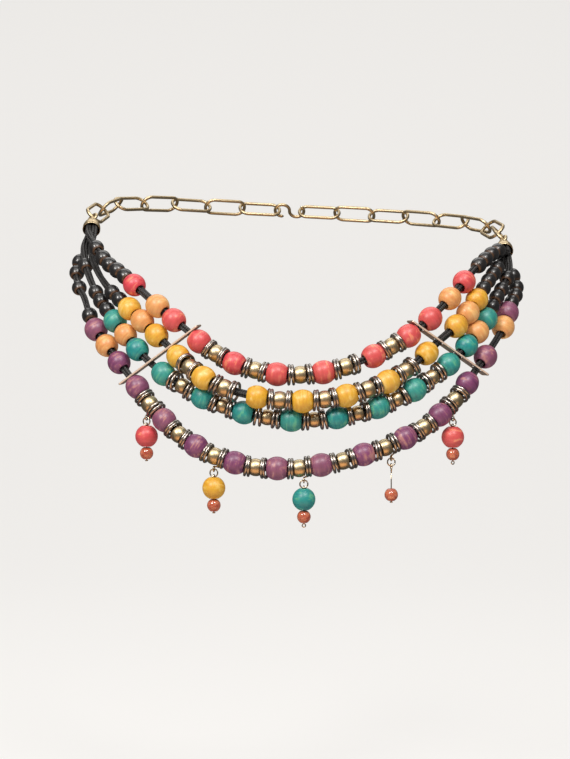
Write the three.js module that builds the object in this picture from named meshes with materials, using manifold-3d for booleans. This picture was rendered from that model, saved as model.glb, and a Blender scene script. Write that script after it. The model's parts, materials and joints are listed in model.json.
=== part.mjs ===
// A beaded chain belt worn round the hips: four strands of black waxed cord threaded with wooden,
// brass and dark beads, two brass spacer strips, cord ends in brass caps, and a chain with a hook behind.
// Millimetres, +Z up, +X to the wearer's left as seen from the front, -Y to the front.
// The origin is the middle of the waist opening, level with the cord ends.
import * as THREE from "three";
import { mergeVertices } from "three/addons/utils/BufferGeometryUtils.js";
import Module from "manifold-3d";

const wasm = await Module();
wasm.setup();

// Half width and half depth of a general figure's waist and hips, from low to high.
const FIGURE = [
  { z: -230, halfWidth: 150, halfDepth: 107 },
  { z: -144, halfWidth: 148, halfDepth: 106 },
  { z: -92, halfWidth: 142, halfDepth: 104 },
  { z: -38, halfWidth: 128, halfDepth: 97 },
  { z: 0, halfWidth: 113, halfDepth: 86 },
  { z: 40, halfWidth: 108, halfDepth: 82 },
];

// Bead, ring and cord sizes.
const CORD_RADIUS = 2.05;
const CORD_END_RADIUS = 1.4;
const CORD_TAPER = 11;
const WOOD = { length: 10.4, radius: 6, face: 3 };
const SIDE_WOOD = { length: 11, radius: 6.05, face: 2.9 };
const DARK = { length: 7.8, radius: 4, face: 2.3 };
const BRASS = { length: 5.6, radius: 4.45, face: 3.4 };
const SMALL_BRASS = { length: 5, radius: 3.95, face: 3 };
const RING_RADIUS = 5.35;
const RING_VALLEY = 3.3;
const RING_PLACES = [0.27, 0.73];
const STRAND_SIDES = 7;
const SEAM = 0.3;

// Spacer strips: thin brass with four holes, one for each strand.
const STRIP = { thickness: 0.9, width: 8, overhang: 6.4, holeRadius: 3.25, holeSides: 8 };
const CORD_IN_HOLE = 1.55;
const HOLE_REACH = 1.7;

// Cord end caps, and the hanging wires.
const CAP = { mouthRadius: 5.05, socketRadius: 4.6, socketDepth: 3.6, length: 10.5, tipRadius: 2, sides: 10 };
const CAP_LOOP = { radius: 2.8, wire: 0.9 };
const BUNDLE_OFFSET = 1.62;
const CORD_LEAD = 4.5;
const JUMP_RING = { radius: 2, wire: 0.4 };
const HANGER = { radius: 1.24, wire: 0.4, reach: 6.45, neckRadius: 0.42, neckStart: 4.7 };
const EYE = { radius: 1.15, wire: 0.3 };
const TAIL_LOOP = { radius: 0.85, wire: 0.3 };
const PIN_HEAD = { radius: 0.85, height: 0.7 };
const DROP_WOOD = { length: 10.8, radius: 5.85, bore: 2.3, sides: 12 };
const DROP_AMBER = { length: 6.2, radius: 3.45, bore: 0.7, sides: 10 };
const WIRE_SIDES = 5;

// Back chain: oval links and an S-shaped hook.
const LINKS = 15;
const LINKS_LEFT_OF_HOOK = 7;
const LINK = { wire: 1, radius: 5.2, segments: 12 };
const HOOK = { wire: 1, radius: 4.6, closedTurn: 285, openTurn: 240, steps: 20, sides: 6 };
const LINK_PLAY = 0.8;
const LINK_TWIST = 45;

// The strips, by the places of their two end holes: degrees round from the front, drop and stand-off.
const STRIPS = {
  left: { red: { around: -22.9, drop: 61.4, off: 7 }, purple: { around: -36, drop: 84.2, off: 7 }, lean: -9 },
  right: { red: { around: 26.7, drop: 58.8, off: 7 }, purple: { around: 40.3, drop: 79.7, off: 7 }, lean: 5 },
};

// The caps: where each mouth is, and the place that its tip points at.
const CAPS = {
  left: { mouth: { around: -79, drop: 0.5, off: 5 }, aim: { around: -87, drop: -9, off: 5 } },
  right: { mouth: { around: 70.5, drop: 14, off: 5 }, aim: { around: 80, drop: 4, off: 5 } },
};

// The chain's route round the back, from the left cap to the right one.
const CHAIN_ROUTE = [
  { around: -112, drop: -20, off: 6.4 },
  { around: -135, drop: -24, off: 6.4 },
  { around: -160, drop: -24, off: 6.4 },
  { around: -185, drop: -22, off: 6.4 },
  { around: -210, drop: -18, off: 6.4 },
  { around: -235, drop: -12, off: 6.4 },
  { around: -257, drop: -5, off: 6.4 },
];

// Each strand's route, as places on the figure: degrees round from the front, drop, stand-off.
// woodPitches are the distances between neighbouring front beads, from the bead after the left strip.
// Side beads are given by kind and distance from their strip, counted away from the middle.
const COLUMNS = ["around", "drop", "off"];
const STRANDS = {
  red: {
    left: [[-73, 4.6, 6.4], [-66, 9.6, 6], [-61, 14.3, 5.7], [-54, 22, 5], [-47, 28.1, 4.8],
      [-40, 35.2, 6.2], [-32, 46.8, 6.5]],
    front: [[-18, 70, 6.5], [-12, 77.6, 6.5], [-6, 81.8, 6.5], [0, 82.9, 6.5], [6, 81.2, 6.5],
      [12, 77.1, 6.5], [18, 70.6, 6.5]],
    right: [[32, 50.2, 6.5], [40, 36.7, 6.2], [47, 27.6, 4.8], [54, 20.8, 4.8],
      [61, 15.6, 5.2], [65, 14, 6.2]],
    firstWood: 7.2,
    woodPitches: [21.9, 22.6, 23.5, 27.4, 22],
    bareAfter: { 3: 4 },
    leftWood: [["dyed", 11.4], ["tan", 24.3], ["dyed", 44.6]],
    leftDark: [55, 63.6, 72, 80.6, 92.6],
    rightWood: [["dyed", 8.5], ["tan", 25.9], ["dyed", 41.2]],
    rightDark: [60.2, 68.6, 77, 85.6],
    corner: [1, 1],
  },
  yellow: {
    left: [[-73, 9, 3.2], [-66.5, 17.3, 3.2], [-57, 28.4, 3.4], [-48, 38.2, 5], [-44, 42.8, 5.8],
      [-38, 50.4, 6.6]],
    front: [[-18, 84.2, 12.9], [-12, 91.1, 12.5], [-6, 94.6, 12.4], [0, 96.1, 12.4], [6, 94.9, 12.4], [12, 91.4, 11.8],
      [18, 86, 10], [24, 78, 7.8]],
    right: [[36, 58.4, 6.5], [42, 48.2, 6.5], [48, 38.3, 5], [54, 30.4, 4.8], [60, 24.6, 4.4], [63, 22.2, 3.4],
      [66.5, 19.4, 3.2]],
    firstWood: 7.8,
    woodPitches: [20.7, 29.2, 23, 22.2, 23.4, 28.3],
    bareAfter: { 1: 5, 5: 4.6 },
    leftWood: [["dyed", 10.6], ["tan", 22.5], ["dyed", 33.8]],
    leftDark: [43.6, 51.8],
    rightWood: [["dyed", 14.3], ["tan", 25.6], ["dyed", 36.9]],
    rightDark: [46.8, 54.8, 62.8, 70.8],
    corner: [-1, 1],
  },
  teal: {
    left: [[-74.5, 10, 6.4], [-71, 15.5, 5.8], [-66, 23, 4.8], [-58, 33.5, 4.5], [-52, 42.2, 4.8],
      [-46, 51.2, 5.2], [-38, 64.6, 6.5]],
    front: [[-24, 87.6, 6.5], [-18, 95.1, 6.5], [-12, 100.7, 6.5], [-6, 104.2, 6.5], [0, 105.6, 6.5],
      [6, 105, 6.5], [12, 102.2, 6.5], [18, 97.3, 6.5], [24, 90.4, 6.5], [30, 81.7, 6.5]],
    right: [[42, 61.8, 6.3], [48, 51.9, 5.2], [54, 41.2, 4.8], [60, 33.8, 4.8], [64.5, 27.8, 5.4], [67, 23, 6.2],
      [68, 19.5, 6.6]],
    firstWood: 10.4,
    woodPitches: [25.5, 22.5, 24.4, 23.1, 21.7, 21.7, 24.7],
    bareAfter: {},
    leftWood: [["dyed", 10.6], ["tan", 22.4], ["dyed", 34.4]],
    leftDark: [44.2, 52.4, 60.6, 87.6],
    rightWood: [["dyed", 8.1], ["tan", 19.5], ["dyed", 30.9]],
    rightDark: [40.6, 48.7, 56.8, 69],
    corner: [1, -1],
    smallBrass: true,
  },
  purple: {
    left: [[-76, 12, 3.4], [-77, 18, 4.8], [-73.5, 26, 4.8], [-65, 35, 4.8], [-60, 41, 4.5], [-55, 50.5, 4.8],
      [-50, 58.6, 6], [-42, 72.3, 6.5]],
    front: [[-30, 98.9, 6.5], [-24, 112.2, 6.5], [-18, 121.6, 6.5], [-12, 127.4, 6.5], [-6, 130, 6.5],
      [0, 130, 6.5], [6, 127.9, 6.5], [12, 124, 6.5], [18, 118.9, 6.5], [24, 112, 6.5], [30, 102.6, 6.5],
      [36, 89.8, 6.5]],
    right: [[46, 69.3, 6.5], [52, 58.8, 6.3], [56.5, 50, 5.6], [60, 45, 4.8], [63.5, 41, 4.8], [67, 37, 4.8],
      [70, 31.5, 4.8], [71, 25, 3.8], [70, 20.5, 3.2]],
    firstWood: 7.2,
    woodPitches: [23.4, 22, 22.1, 21.6, 22.3, 22.4, 23.6, 22.9, 23.8],
    bareAfter: {},
    leftWood: [["dyed", 11.4], ["tan", 25.3], ["dyed", 38.9]],
    leftDark: [51, 76.2, 94.4, 102.8],
    rightWood: [["dyed", 9.8], ["tan", 34.2], ["dyed", 45.7]],
    rightDark: [55.7, 63.8, 71.9, 80],
    corner: [-1, -1],
  },
};

// Hanging drops: the gap between front purple beads, the ring in it that carries the hanger, and how far
// along the strand the hanger leans from that ring.
const DROPS = [
  { gap: 0, ring: 3, lean: -2.1, wood: "red", tail: "head" },
  { gap: 2, ring: 2, lean: -1.9, wood: "yellow", tail: "head" },
  { gap: 4, ring: 2, lean: -2, wood: "teal", tail: "loop" },
  { gap: 6, ring: 2, lean: -2.9, wood: null, tail: "head" },
  { gap: 8, ring: 0, lean: -1.6, wood: "red", tail: "loop" },
];
const BARE_WIRE = 11.5;
const EYE_TO_WOOD = 0.2;

// Materials, each with the finish of one of the belt's parts.
const finish = (color, roughness, metalness) => ({ color, roughness, metalness });
const FINISHES = {
  red: finish(0xdc5562, 0.45, 0),
  yellow: finish(0xe6b02e, 0.45, 0),
  teal: finish(0x2f8f80, 0.45, 0),
  purple: finish(0x7d4168, 0.45, 0),
  cord: finish(0x232020, 0.6, 0),
  brass: finish(0x9a8055, 0.35, 1),
  amber: finish(0xb5502f, 0.2, 0),
};
const material = (name) => new THREE.MeshStandardMaterial(FINISHES[name]);

// A value of the figure's table at a height, between its rows.
function figureAt(z, column) {
  const above = FIGURE.findIndex((row) => row.z >= z);
  const high = FIGURE[Math.max(above, 1)];
  const low = FIGURE[Math.max(above, 1) - 1];
  const share = THREE.MathUtils.clamp((z - low.z) / (high.z - low.z), 0, 1);
  return THREE.MathUtils.lerp(low[column], high[column], share);
}

// The point at an angle round from the front, a drop below the waist and a stand-off from the figure.
function place({ around, drop, off }) {
  const turn = THREE.MathUtils.degToRad(around);
  const x = (figureAt(-drop, "halfWidth") + off) * Math.sin(turn);
  const y = -(figureAt(-drop, "halfDepth") + off) * Math.cos(turn);
  return new THREE.Vector3(x, y, -drop);
}

// The level direction that points straight away from the figure at a point near it.
function outward(point) {
  const width = figureAt(point.z, "halfWidth");
  const depth = figureAt(point.z, "halfDepth");
  return new THREE.Vector3(point.x / width ** 2, point.y / depth ** 2, 0).normalize();
}

// A direction with its share along another direction taken out.
const squareTo = (direction, along) => direction.clone().addScaledVector(along, -direction.dot(along)).normalize();

const rowsOf = (table) => table.map((row) => Object.fromEntries(COLUMNS.map((name, i) => [name, row[i]])));
const polyline = (rows) => rowsOf(rows).map(place);

function smoothCurve(points) {
  const curve = new THREE.CatmullRomCurve3(points, false, "centripetal");
  curve.arcLengthDivisions = points.length * 60;
  return curve;
}

// Where a curve comes nearest to a point, as a distance along it.
function distanceAlong(curve, point) {
  const steps = 4000;
  const points = curve.getSpacedPoints(steps);
  const gaps = points.map((p) => p.distanceTo(point));
  return (gaps.indexOf(Math.min(...gaps)) / steps) * curve.getLength();
}

// The frame of a strand at a distance along it: away from the figure, along the strand, and square to both.
function frameAt(curve, distance) {
  const t = THREE.MathUtils.clamp(distance / curve.getLength(), 0, 1);
  const point = curve.getPointAt(t);
  const along = curve.getTangentAt(t);
  const out = squareTo(outward(point), along);
  const side = new THREE.Vector3().crossVectors(out, along);
  return { point, along, out, side };
}

// A closed body of revolution whose axis is bent onto a strand: its profile is [distance, radius] pairs.
function threadedRun(curve, profile) {
  const first = profile[0][0];
  const last = profile[profile.length - 1][0];
  const points = [[first, 0], ...profile, [last, 0]].map(([distance, radius]) => new THREE.Vector2(radius, distance));
  const geometry = new THREE.LatheGeometry(points, STRAND_SIDES);
  const position = geometry.getAttribute("position");
  for (let i = 0; i < position.count; i++) {
    const frame = frameAt(curve, position.getY(i));
    const moved = frame.point
      .addScaledVector(frame.out, position.getX(i))
      .addScaledVector(frame.side, position.getZ(i));
    position.setXYZ(i, moved.x, moved.y, moved.z);
  }
  return geometry;
}

// The profile of a rounded bead about its middle, from one hole to the other.
function beadProfile(middle, { length, radius, face }) {
  const shoulder = THREE.MathUtils.lerp(face, radius, 0.74);
  return [
    [middle - length / 2, face],
    [middle - length * 0.31, shoulder],
    [middle, radius],
    [middle + length * 0.31, shoulder],
    [middle + length / 2, face],
  ];
}

// The profile of a short bead with a flat crest.
function brassProfile(middle, { length, radius, face }) {
  return [
    [middle - length / 2, face],
    [middle - length / 5, radius],
    [middle + length / 5, radius],
    [middle + length / 2, face],
  ];
}

// The profile of a dark bead, which touches its neighbours.
function darkProfile(middle, { length, radius }) {
  return [
    [middle - length * 0.27, radius],
    [middle + length * 0.27, radius],
  ];
}

// Two rings side by side in the space from one bead's face to the next one's.
function ringPair(from, space) {
  const [first, second] = RING_PLACES.map((share) => from + share * space);
  return {
    places: [first, second],
    profile: [
      [first, RING_RADIUS],
      [(first + second) / 2, RING_VALLEY],
      [second, RING_RADIUS],
    ],
  };
}

// The front of a strand: beads at their pitches, with two rings, brass and two rings between them.
function frontRun(strand, start, end) {
  const brass = strand.smallBrass ? SMALL_BRASS : BRASS;
  const profile = [
    [start - HOLE_REACH, CORD_IN_HOLE],
    [start + STRIP.thickness, CORD_IN_HOLE],
  ];
  const ringPlaces = [];
  let middle = start + strand.firstWood;
  if (strand.firstWood > 2 * WOOD.length / 2 - 1) profile.push([middle - WOOD.length / 2, CORD_RADIUS]);
  profile.push(...beadProfile(middle, WOOD));
  strand.woodPitches.forEach((pitch, i) => {
    const bare = strand.bareAfter[i] ?? 0;
    const space = (pitch - WOOD.length - brass.length - bare) / 2;
    const before = ringPair(middle + WOOD.length / 2, space);
    const brassMiddle = middle + WOOD.length / 2 + space + brass.length / 2;
    const after = ringPair(brassMiddle + brass.length / 2, space);
    profile.push(...before.profile, ...brassProfile(brassMiddle, brass), ...after.profile);
    middle += pitch;
    if (bare) profile.push([middle - WOOD.length / 2, CORD_RADIUS]);
    profile.push(...beadProfile(middle, WOOD));
    ringPlaces.push([...before.places, ...after.places]);
  });
  profile.push([middle + WOOD.length / 2, CORD_RADIUS], [end - STRIP.thickness, CORD_IN_HOLE]);
  profile.push([end + HOLE_REACH, CORD_IN_HOLE]);
  return { profile, ringPlaces };
}

// Beads along one stretch of a strand with bare cord between them, from its start to its end.
function sideRun(beads, from, to, endRadius) {
  const profile = [[from, CORD_RADIUS]];
  beads.forEach(({ middle, bead }, i) => {
    const previous = i ? beads[i - 1].middle + beads[i - 1].bead.length / 2 : from;
    const front = middle - bead.length / 2;
    if (front - previous > 1) {
      if (i) profile.push([previous, CORD_RADIUS]);
      profile.push([front, CORD_RADIUS]);
    } else if (i) profile.push([(front + previous) / 2, CORD_RADIUS]);
    profile.push(...(bead === DARK ? darkProfile(middle, bead) : beadProfile(middle, bead)));
  });
  const lastBead = beads[beads.length - 1];
  profile.push([lastBead.middle + lastBead.bead.length / 2, CORD_RADIUS]);
  if (endRadius !== CORD_RADIUS) profile.push([to - CORD_TAPER, endRadius]);
  profile.push([to, endRadius]);
  return profile;
}

// The same stretch told from its other end.
const reversed = (profile, about) => profile.map(([distance, radius]) => [about - distance, radius]).reverse();

// A three.js geometry as a solid for joining and cutting.
function solidOf(geometry) {
  const bare = geometry.clone();
  bare.deleteAttribute("normal");
  bare.deleteAttribute("uv");
  const merged = mergeVertices(bare, 1e-4);
  return new wasm.Manifold(
    new wasm.Mesh({
      numProp: 3,
      vertProperties: merged.getAttribute("position").array,
      triVerts: new Uint32Array(merged.index.array),
    }),
  );
}

function geometryOf(solid) {
  const { vertProperties, triVerts } = solid.getMesh();
  const geometry = new THREE.BufferGeometry();
  geometry.setAttribute("position", new THREE.BufferAttribute(vertProperties, 3));
  geometry.setIndex(new THREE.BufferAttribute(triVerts, 1));
  geometry.computeVertexNormals();
  return geometry;
}

// Moves a geometry so that its X, Y and Z become three given directions at a point.
function placed(geometry, point, x, y, z) {
  geometry.applyMatrix4(new THREE.Matrix4().makeBasis(x, y, z).setPosition(point));
  return geometry;
}

// A wire ring whose hole faces its Z axis, stretched along X by half a straight on each side.
function wireRing({ radius, wire }, segments, straight = 0) {
  const geometry = new THREE.TorusGeometry(radius, wire, WIRE_SIDES, segments);
  geometry.rotateZ(Math.PI / segments);
  const position = geometry.getAttribute("position");
  for (let i = 0; i < position.count; i++) {
    position.setX(i, position.getX(i) + Math.sign(position.getX(i)) * straight);
  }
  return geometry;
}

// A round rod between two points.
function rod(from, to, radius) {
  const length = from.distanceTo(to);
  const geometry = new THREE.CylinderGeometry(radius, radius, length, WIRE_SIDES);
  const along = new THREE.Vector3().subVectors(to, from).normalize();
  geometry.applyQuaternion(new THREE.Quaternion().setFromUnitVectors(new THREE.Vector3(0, 1, 0), along));
  const middle = from.clone().lerp(to, 0.5);
  return geometry.translate(middle.x, middle.y, middle.z);
}

// A spacer strip's own frame: its length from the red hole to the purple one, its face and its width.
function stripFrame({ red, purple, lean }) {
  const from = place(red);
  const to = place(purple);
  const long = new THREE.Vector3().subVectors(to, from).normalize();
  const wide = squareTo(outward(from.clone().lerp(to, 0.5)), long).applyAxisAngle(long, THREE.MathUtils.degToRad(lean));
  const face = new THREE.Vector3().crossVectors(long, wide);
  const holes = [0, 1, 2, 3].map((i) => from.clone().lerp(to, i / 3));
  return { from, to, long, wide, face, holes };
}

// A spacer strip: a thin rectangle standing on its edge, with a round hole for each strand.
function spacerStrip(frame) {
  const length = frame.from.distanceTo(frame.to) + 2 * STRIP.overhang;
  const middle = frame.from.clone().lerp(frame.to, 0.5);
  const strip = new THREE.BoxGeometry(length, STRIP.width, STRIP.thickness);
  let solid = solidOf(placed(strip, middle, frame.long, frame.wide, frame.face));
  for (const hole of frame.holes) {
    const drill = new THREE.CylinderGeometry(STRIP.holeRadius, STRIP.holeRadius, 6, STRIP.holeSides);
    drill.rotateX(Math.PI / 2);
    solid = solid.subtract(solidOf(placed(drill, hole, frame.long, frame.wide, frame.face)));
  }
  return geometryOf(solid);
}

// A cap's own frame: its axis from mouth to tip, away from the figure, and across, to the front and up.
function capFrame({ mouth, aim }, hand) {
  const point = place(mouth);
  const axis = place(aim).sub(point).normalize();
  const out = squareTo(outward(point), axis);
  const across = new THREE.Vector3().crossVectors(axis, out).multiplyScalar(hand);
  return { point, axis, out, across };
}

// A cord end cap: a cone with a socket for the four cords, and a wire loop at its tip.
function endCap(frame, twist) {
  const { mouthRadius, socketRadius, socketDepth, length, tipRadius, sides } = CAP;
  const profile = [
    [0, socketDepth],
    [socketRadius, socketDepth],
    [socketRadius, 0],
    [mouthRadius, 0],
    [mouthRadius * 0.98, length * 0.4],
    [tipRadius * 1.3, length * 0.85],
    [tipRadius, length],
    [0, length],
  ].map(([radius, height]) => new THREE.Vector2(radius, height));
  const cone = new THREE.LatheGeometry(profile, sides);
  const z = new THREE.Vector3().crossVectors(frame.out, frame.axis);
  const body = solidOf(placed(cone, frame.point, frame.out, frame.axis, z));
  const loopPoint = frame.point.clone().addScaledVector(frame.axis, length + CAP_LOOP.radius);
  const turned = frame.out.clone().applyAxisAngle(frame.axis, THREE.MathUtils.degToRad(twist));
  const hole = new THREE.Vector3().crossVectors(frame.axis, turned);
  const loop = solidOf(placed(wireRing(CAP_LOOP, 12), loopPoint, frame.axis, turned, hole));
  return geometryOf(body.add(loop));
}

// The S-shaped hook: a nearly closed loop and an open one, tangent where they meet.
class HookCurve extends THREE.Curve {
  getPoint(t, target = new THREE.Vector3()) {
    const closed = THREE.MathUtils.degToRad(HOOK.closedTurn);
    const open = THREE.MathUtils.degToRad(HOOK.openTurn);
    const turned = t * (closed + open) - closed;
    const side = turned < 0 ? -1 : 1;
    const angle = Math.abs(turned);
    const x = side * HOOK.radius * (1 - Math.cos(angle));
    return target.set(x, side * HOOK.radius * Math.sin(angle), 0);
  }
}

function circleShape(radius, sides) {
  const points = Array.from({ length: sides }, (_, i) => {
    const angle = (2 * Math.PI * i) / sides;
    return new THREE.Vector2(radius * Math.cos(angle), radius * Math.sin(angle));
  });
  return new THREE.Shape(points);
}

function hookShape() {
  const path = new HookCurve();
  return new THREE.ExtrudeGeometry(circleShape(HOOK.wire, HOOK.sides), { steps: HOOK.steps, extrudePath: path });
}

const group = new THREE.Group();

function addPiece(name, geometry, look) {
  const mesh = new THREE.Mesh(geometry, material(look));
  mesh.name = name;
  group.add(mesh);
}

const strips = { left: stripFrame(STRIPS.left), right: stripFrame(STRIPS.right) };
const caps = { left: capFrame(CAPS.left, 1), right: capFrame(CAPS.right, -1) };

// Where one strand's cords lie in a cap's square bundle, at a distance along the cap's axis.
function bundlePoint(cap, corner, distance) {
  return cap.point
    .clone()
    .addScaledVector(cap.axis, distance)
    .addScaledVector(cap.out, corner[0] * BUNDLE_OFFSET)
    .addScaledVector(cap.across, corner[1] * BUNDLE_OFFSET);
}

// One strand's whole route: left cap, side, strip, front, strip, side, right cap.
function strandCurve(strand, index) {
  const depth = CAP.socketDepth - SEAM;
  return smoothCurve([
    bundlePoint(caps.left, strand.corner, depth),
    bundlePoint(caps.left, strand.corner, -CORD_LEAD),
    ...polyline(strand.left),
    strips.left.holes[index],
    ...polyline(strand.front),
    strips.right.holes[index],
    ...polyline(strand.right),
    bundlePoint(caps.right, strand.corner, -CORD_LEAD),
    bundlePoint(caps.right, strand.corner, depth),
  ]);
}

// A loop under a ring of the strand, which a drop's jump ring hangs in.
function hangerAt(curve, distance, lean) {
  const frame = frameAt(curve, distance);
  const down = squareTo(new THREE.Vector3(0, 0, -1), frame.along);
  const pivot = frame.point.clone().addScaledVector(down, HANGER.reach).addScaledVector(frame.along, lean);
  const swing = new THREE.Vector3(frame.along.x, frame.along.y, 0).normalize();
  const up = new THREE.Vector3(0, 0, 1);
  const inner = new THREE.Vector3().crossVectors(up, swing);
  const loop = solidOf(placed(wireRing(HANGER, 8), pivot, inner, up, swing));
  const neckFrom = frame.point.clone().addScaledVector(down, HANGER.neckStart);
  const neckTo = pivot.clone().addScaledVector(up, HANGER.radius);
  return { pivot, swing, up, inner, solid: loop.add(solidOf(rod(neckFrom, neckTo, HANGER.neckRadius))) };
}

function addStrand(name, strand, index) {
  const curve = strandCurve(strand, index);
  const start = distanceAlong(curve, strips.left.holes[index]);
  const end = distanceAlong(curve, strips.right.holes[index]);
  const whole = curve.getLength();
  const hangers = [];

  const front = frontRun(strand, start, end);
  let frontGeometry = threadedRun(curve, front.profile);
  if (name === "purple") {
    let solid = solidOf(frontGeometry);
    for (const drop of DROPS) {
      const hanger = hangerAt(curve, front.ringPlaces[drop.gap][drop.ring], drop.lean);
      hangers.push(hanger);
      solid = solid.add(hanger.solid);
    }
    frontGeometry = geometryOf(solid);
  }
  addPiece(`${name}_front`, frontGeometry, name);

  const sides = [
    { side: "left", wood: strand.leftWood, dark: strand.leftDark, about: start, length: start, turn: true },
    { side: "right", wood: strand.rightWood, dark: strand.rightDark, about: end, length: whole - end, turn: false },
  ];
  for (const { side, wood, dark, about, length, turn } of sides) {
    const woodBeads = wood.map(([, middle]) => ({ middle, bead: SIDE_WOOD }));
    const darkBeads = dark.map((middle) => ({ middle, bead: DARK }));
    const lastWood = woodBeads[woodBeads.length - 1].middle + SIDE_WOOD.length / 2;
    const firstDark = darkBeads[0].middle - DARK.length / 2;
    const seam = Math.min(lastWood + 1, (lastWood + firstDark) / 2);
    const woodRun = sideRun(woodBeads, HOLE_REACH + SEAM, seam - SEAM / 2, CORD_RADIUS);
    const darkRun = sideRun(darkBeads, seam + SEAM / 2, length, CORD_END_RADIUS);
    const along = (profile) =>
      turn ? reversed(profile, about) : profile.map(([distance, radius]) => [about + distance, radius]);
    addPiece(`${name}_${side}_wood`, threadedRun(curve, along(woodRun)), name);
    addPiece(`${name}_${side}_dark`, threadedRun(curve, along(darkRun)), "cord");
  }
  return hangers;
}

// A bead with a bore, standing upright, with its top at a height.
function upright(profile, sides, point, top, { swing, up, inner }) {
  const geometry = new THREE.LatheGeometry(profile, sides);
  const foot = point.clone().addScaledVector(up, top);
  return placed(geometry, foot, swing, up, inner.clone().negate());
}

function boredBead({ length, radius, bore }) {
  const faceRadius = Math.max(bore + 0.35, radius * 0.42);
  const side = [0.5, 0.36, 0, -0.36, -0.5].map((share) => {
    const round = Math.sqrt(Math.max(0, 1 - (2 * share) ** 2));
    return new THREE.Vector2(THREE.MathUtils.lerp(faceRadius, radius, round), (share - 0.5) * length);
  });
  const bottomUp = side.reverse();
  const inside = [new THREE.Vector2(bore, 0), new THREE.Vector2(bore, -length)];
  return [...bottomUp, ...inside, bottomUp[0].clone()];
}

// A drop's pin: an eye round the jump ring, a straight wire, and a turned or headed end.
function eyePin(pivot, stemLength, tail, frame) {
  const eye = solidOf(placed(wireRing(EYE, 8), pivot, frame.inner, frame.up, frame.swing));
  const stemTop = pivot.clone().addScaledVector(frame.up, -EYE.radius);
  const stemFoot = pivot.clone().addScaledVector(frame.up, -stemLength);
  let solid = eye.add(solidOf(rod(stemFoot, stemTop, EYE.wire)));
  if (tail === "loop") {
    const centre = stemFoot.clone().addScaledVector(frame.up, -TAIL_LOOP.radius);
    const outer = frame.inner.clone().negate();
    solid = solid.add(solidOf(placed(wireRing(TAIL_LOOP, 8), centre, frame.swing, frame.up, outer)));
  } else {
    const headFoot = stemFoot.clone().addScaledVector(frame.up, -PIN_HEAD.height);
    solid = solid.add(solidOf(rod(headFoot, stemFoot, PIN_HEAD.radius)));
  }
  return geometryOf(solid);
}

// One hanging drop: jump ring, pin, and the beads that the pin holds.
function addDrop(number, drop, hanger) {
  const { pivot, swing, up, inner } = hanger;
  const ringCentre = pivot.clone().addScaledVector(up, -JUMP_RING.radius);
  const outer = inner.clone().negate();
  addPiece(`drop_${number}_ring`, placed(wireRing(JUMP_RING, 12), ringCentre, swing, up, outer), "brass");
  const eye = pivot.clone().addScaledVector(up, -2 * JUMP_RING.radius);
  const woodLength = drop.wood ? DROP_WOOD.length + SEAM : 0;
  const beadTop = drop.wood ? EYE_TO_WOOD : BARE_WIRE;
  const stem = beadTop + woodLength + DROP_AMBER.length + SEAM + (drop.tail === "loop" ? EYE.wire / 2 : 0);
  addPiece(`drop_${number}_pin`, eyePin(eye, stem, drop.tail, hanger), "brass");
  if (drop.wood) {
    const wood = upright(boredBead(DROP_WOOD), DROP_WOOD.sides, eye, -beadTop, hanger);
    addPiece(`drop_${number}_wood`, wood, drop.wood);
  }
  const amber = upright(boredBead(DROP_AMBER), DROP_AMBER.sides, eye, -beadTop - woodLength, hanger);
  addPiece(`drop_${number}_amber`, amber, "amber");
}

// The chain and its hook: each link is as long as its share of the way from one cap to the other.
function addChain() {
  const slack = LINK.wire + LINK_PLAY / 2;
  const loopReach = CAP.length + 2 * CAP_LOOP.radius - CAP_LOOP.wire - LINK_PLAY / 2;
  const ends = [caps.left, caps.right].map((cap) => cap.point.clone().addScaledVector(cap.axis, loopReach));
  const route = smoothCurve([ends[0], ...CHAIN_ROUTE.map(place), ends[1]]);
  const hookPitch = 4 * HOOK.radius - 2 * slack;
  const linkPitch = (route.getLength() - hookPitch) / LINKS;
  let reached = 0;
  for (let i = 0; i <= LINKS; i++) {
    const isHook = i === LINKS_LEFT_OF_HOOK;
    const pitch = isHook ? hookPitch : linkPitch;
    const from = frameAt(route, reached).point;
    const to = frameAt(route, reached + pitch).point;
    const middle = from.clone().lerp(to, 0.5);
    const along = new THREE.Vector3().subVectors(to, from).normalize();
    const side = new THREE.Vector3().crossVectors(squareTo(outward(middle), along), along);
    const wide = side.applyAxisAngle(along, THREE.MathUtils.degToRad(i % 2 ? LINK_TWIST : -LINK_TWIST));
    const through = new THREE.Vector3().crossVectors(along, wide);
    const straight = from.distanceTo(to) / 2 + slack - LINK.radius;
    const shape = isHook ? hookShape() : wireRing(LINK, LINK.segments, straight);
    const number = String(i < LINKS_LEFT_OF_HOOK ? i + 1 : i).padStart(2, "0");
    addPiece(isHook ? "hook" : `chain_link_${number}`, placed(shape, middle, along, wide, through), "brass");
    reached += pitch;
  }
}

addPiece("left_strip", spacerStrip(strips.left), "brass");
addPiece("right_strip", spacerStrip(strips.right), "brass");
addPiece("left_cap", endCap(caps.left, -LINK_TWIST), "brass");
addPiece("right_cap", endCap(caps.right, -LINK_TWIST), "brass");
const hangers = Object.entries(STRANDS).flatMap(([name, strand], index) => addStrand(name, strand, index));
DROPS.forEach((drop, i) => addDrop(i + 1, drop, hangers[i]));
addChain();

export default group;
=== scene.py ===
"""Looks of a beaded chain belt worn round the hips.

Four black waxed cords carry dyed wooden beads, antique brass beads and dark metal rings, part through two
brass spacer strips, run on with round wooden and dark beads, and end in brass caps on a link chain.
Sizes are in millimetres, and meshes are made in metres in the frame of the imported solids.
"""

import json
import logging
import math
from bisect import bisect_left
from dataclasses import dataclass, field
from enum import Enum
from typing import Callable, Iterable, Sequence

import bpy
from mathutils import Matrix, Vector

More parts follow.
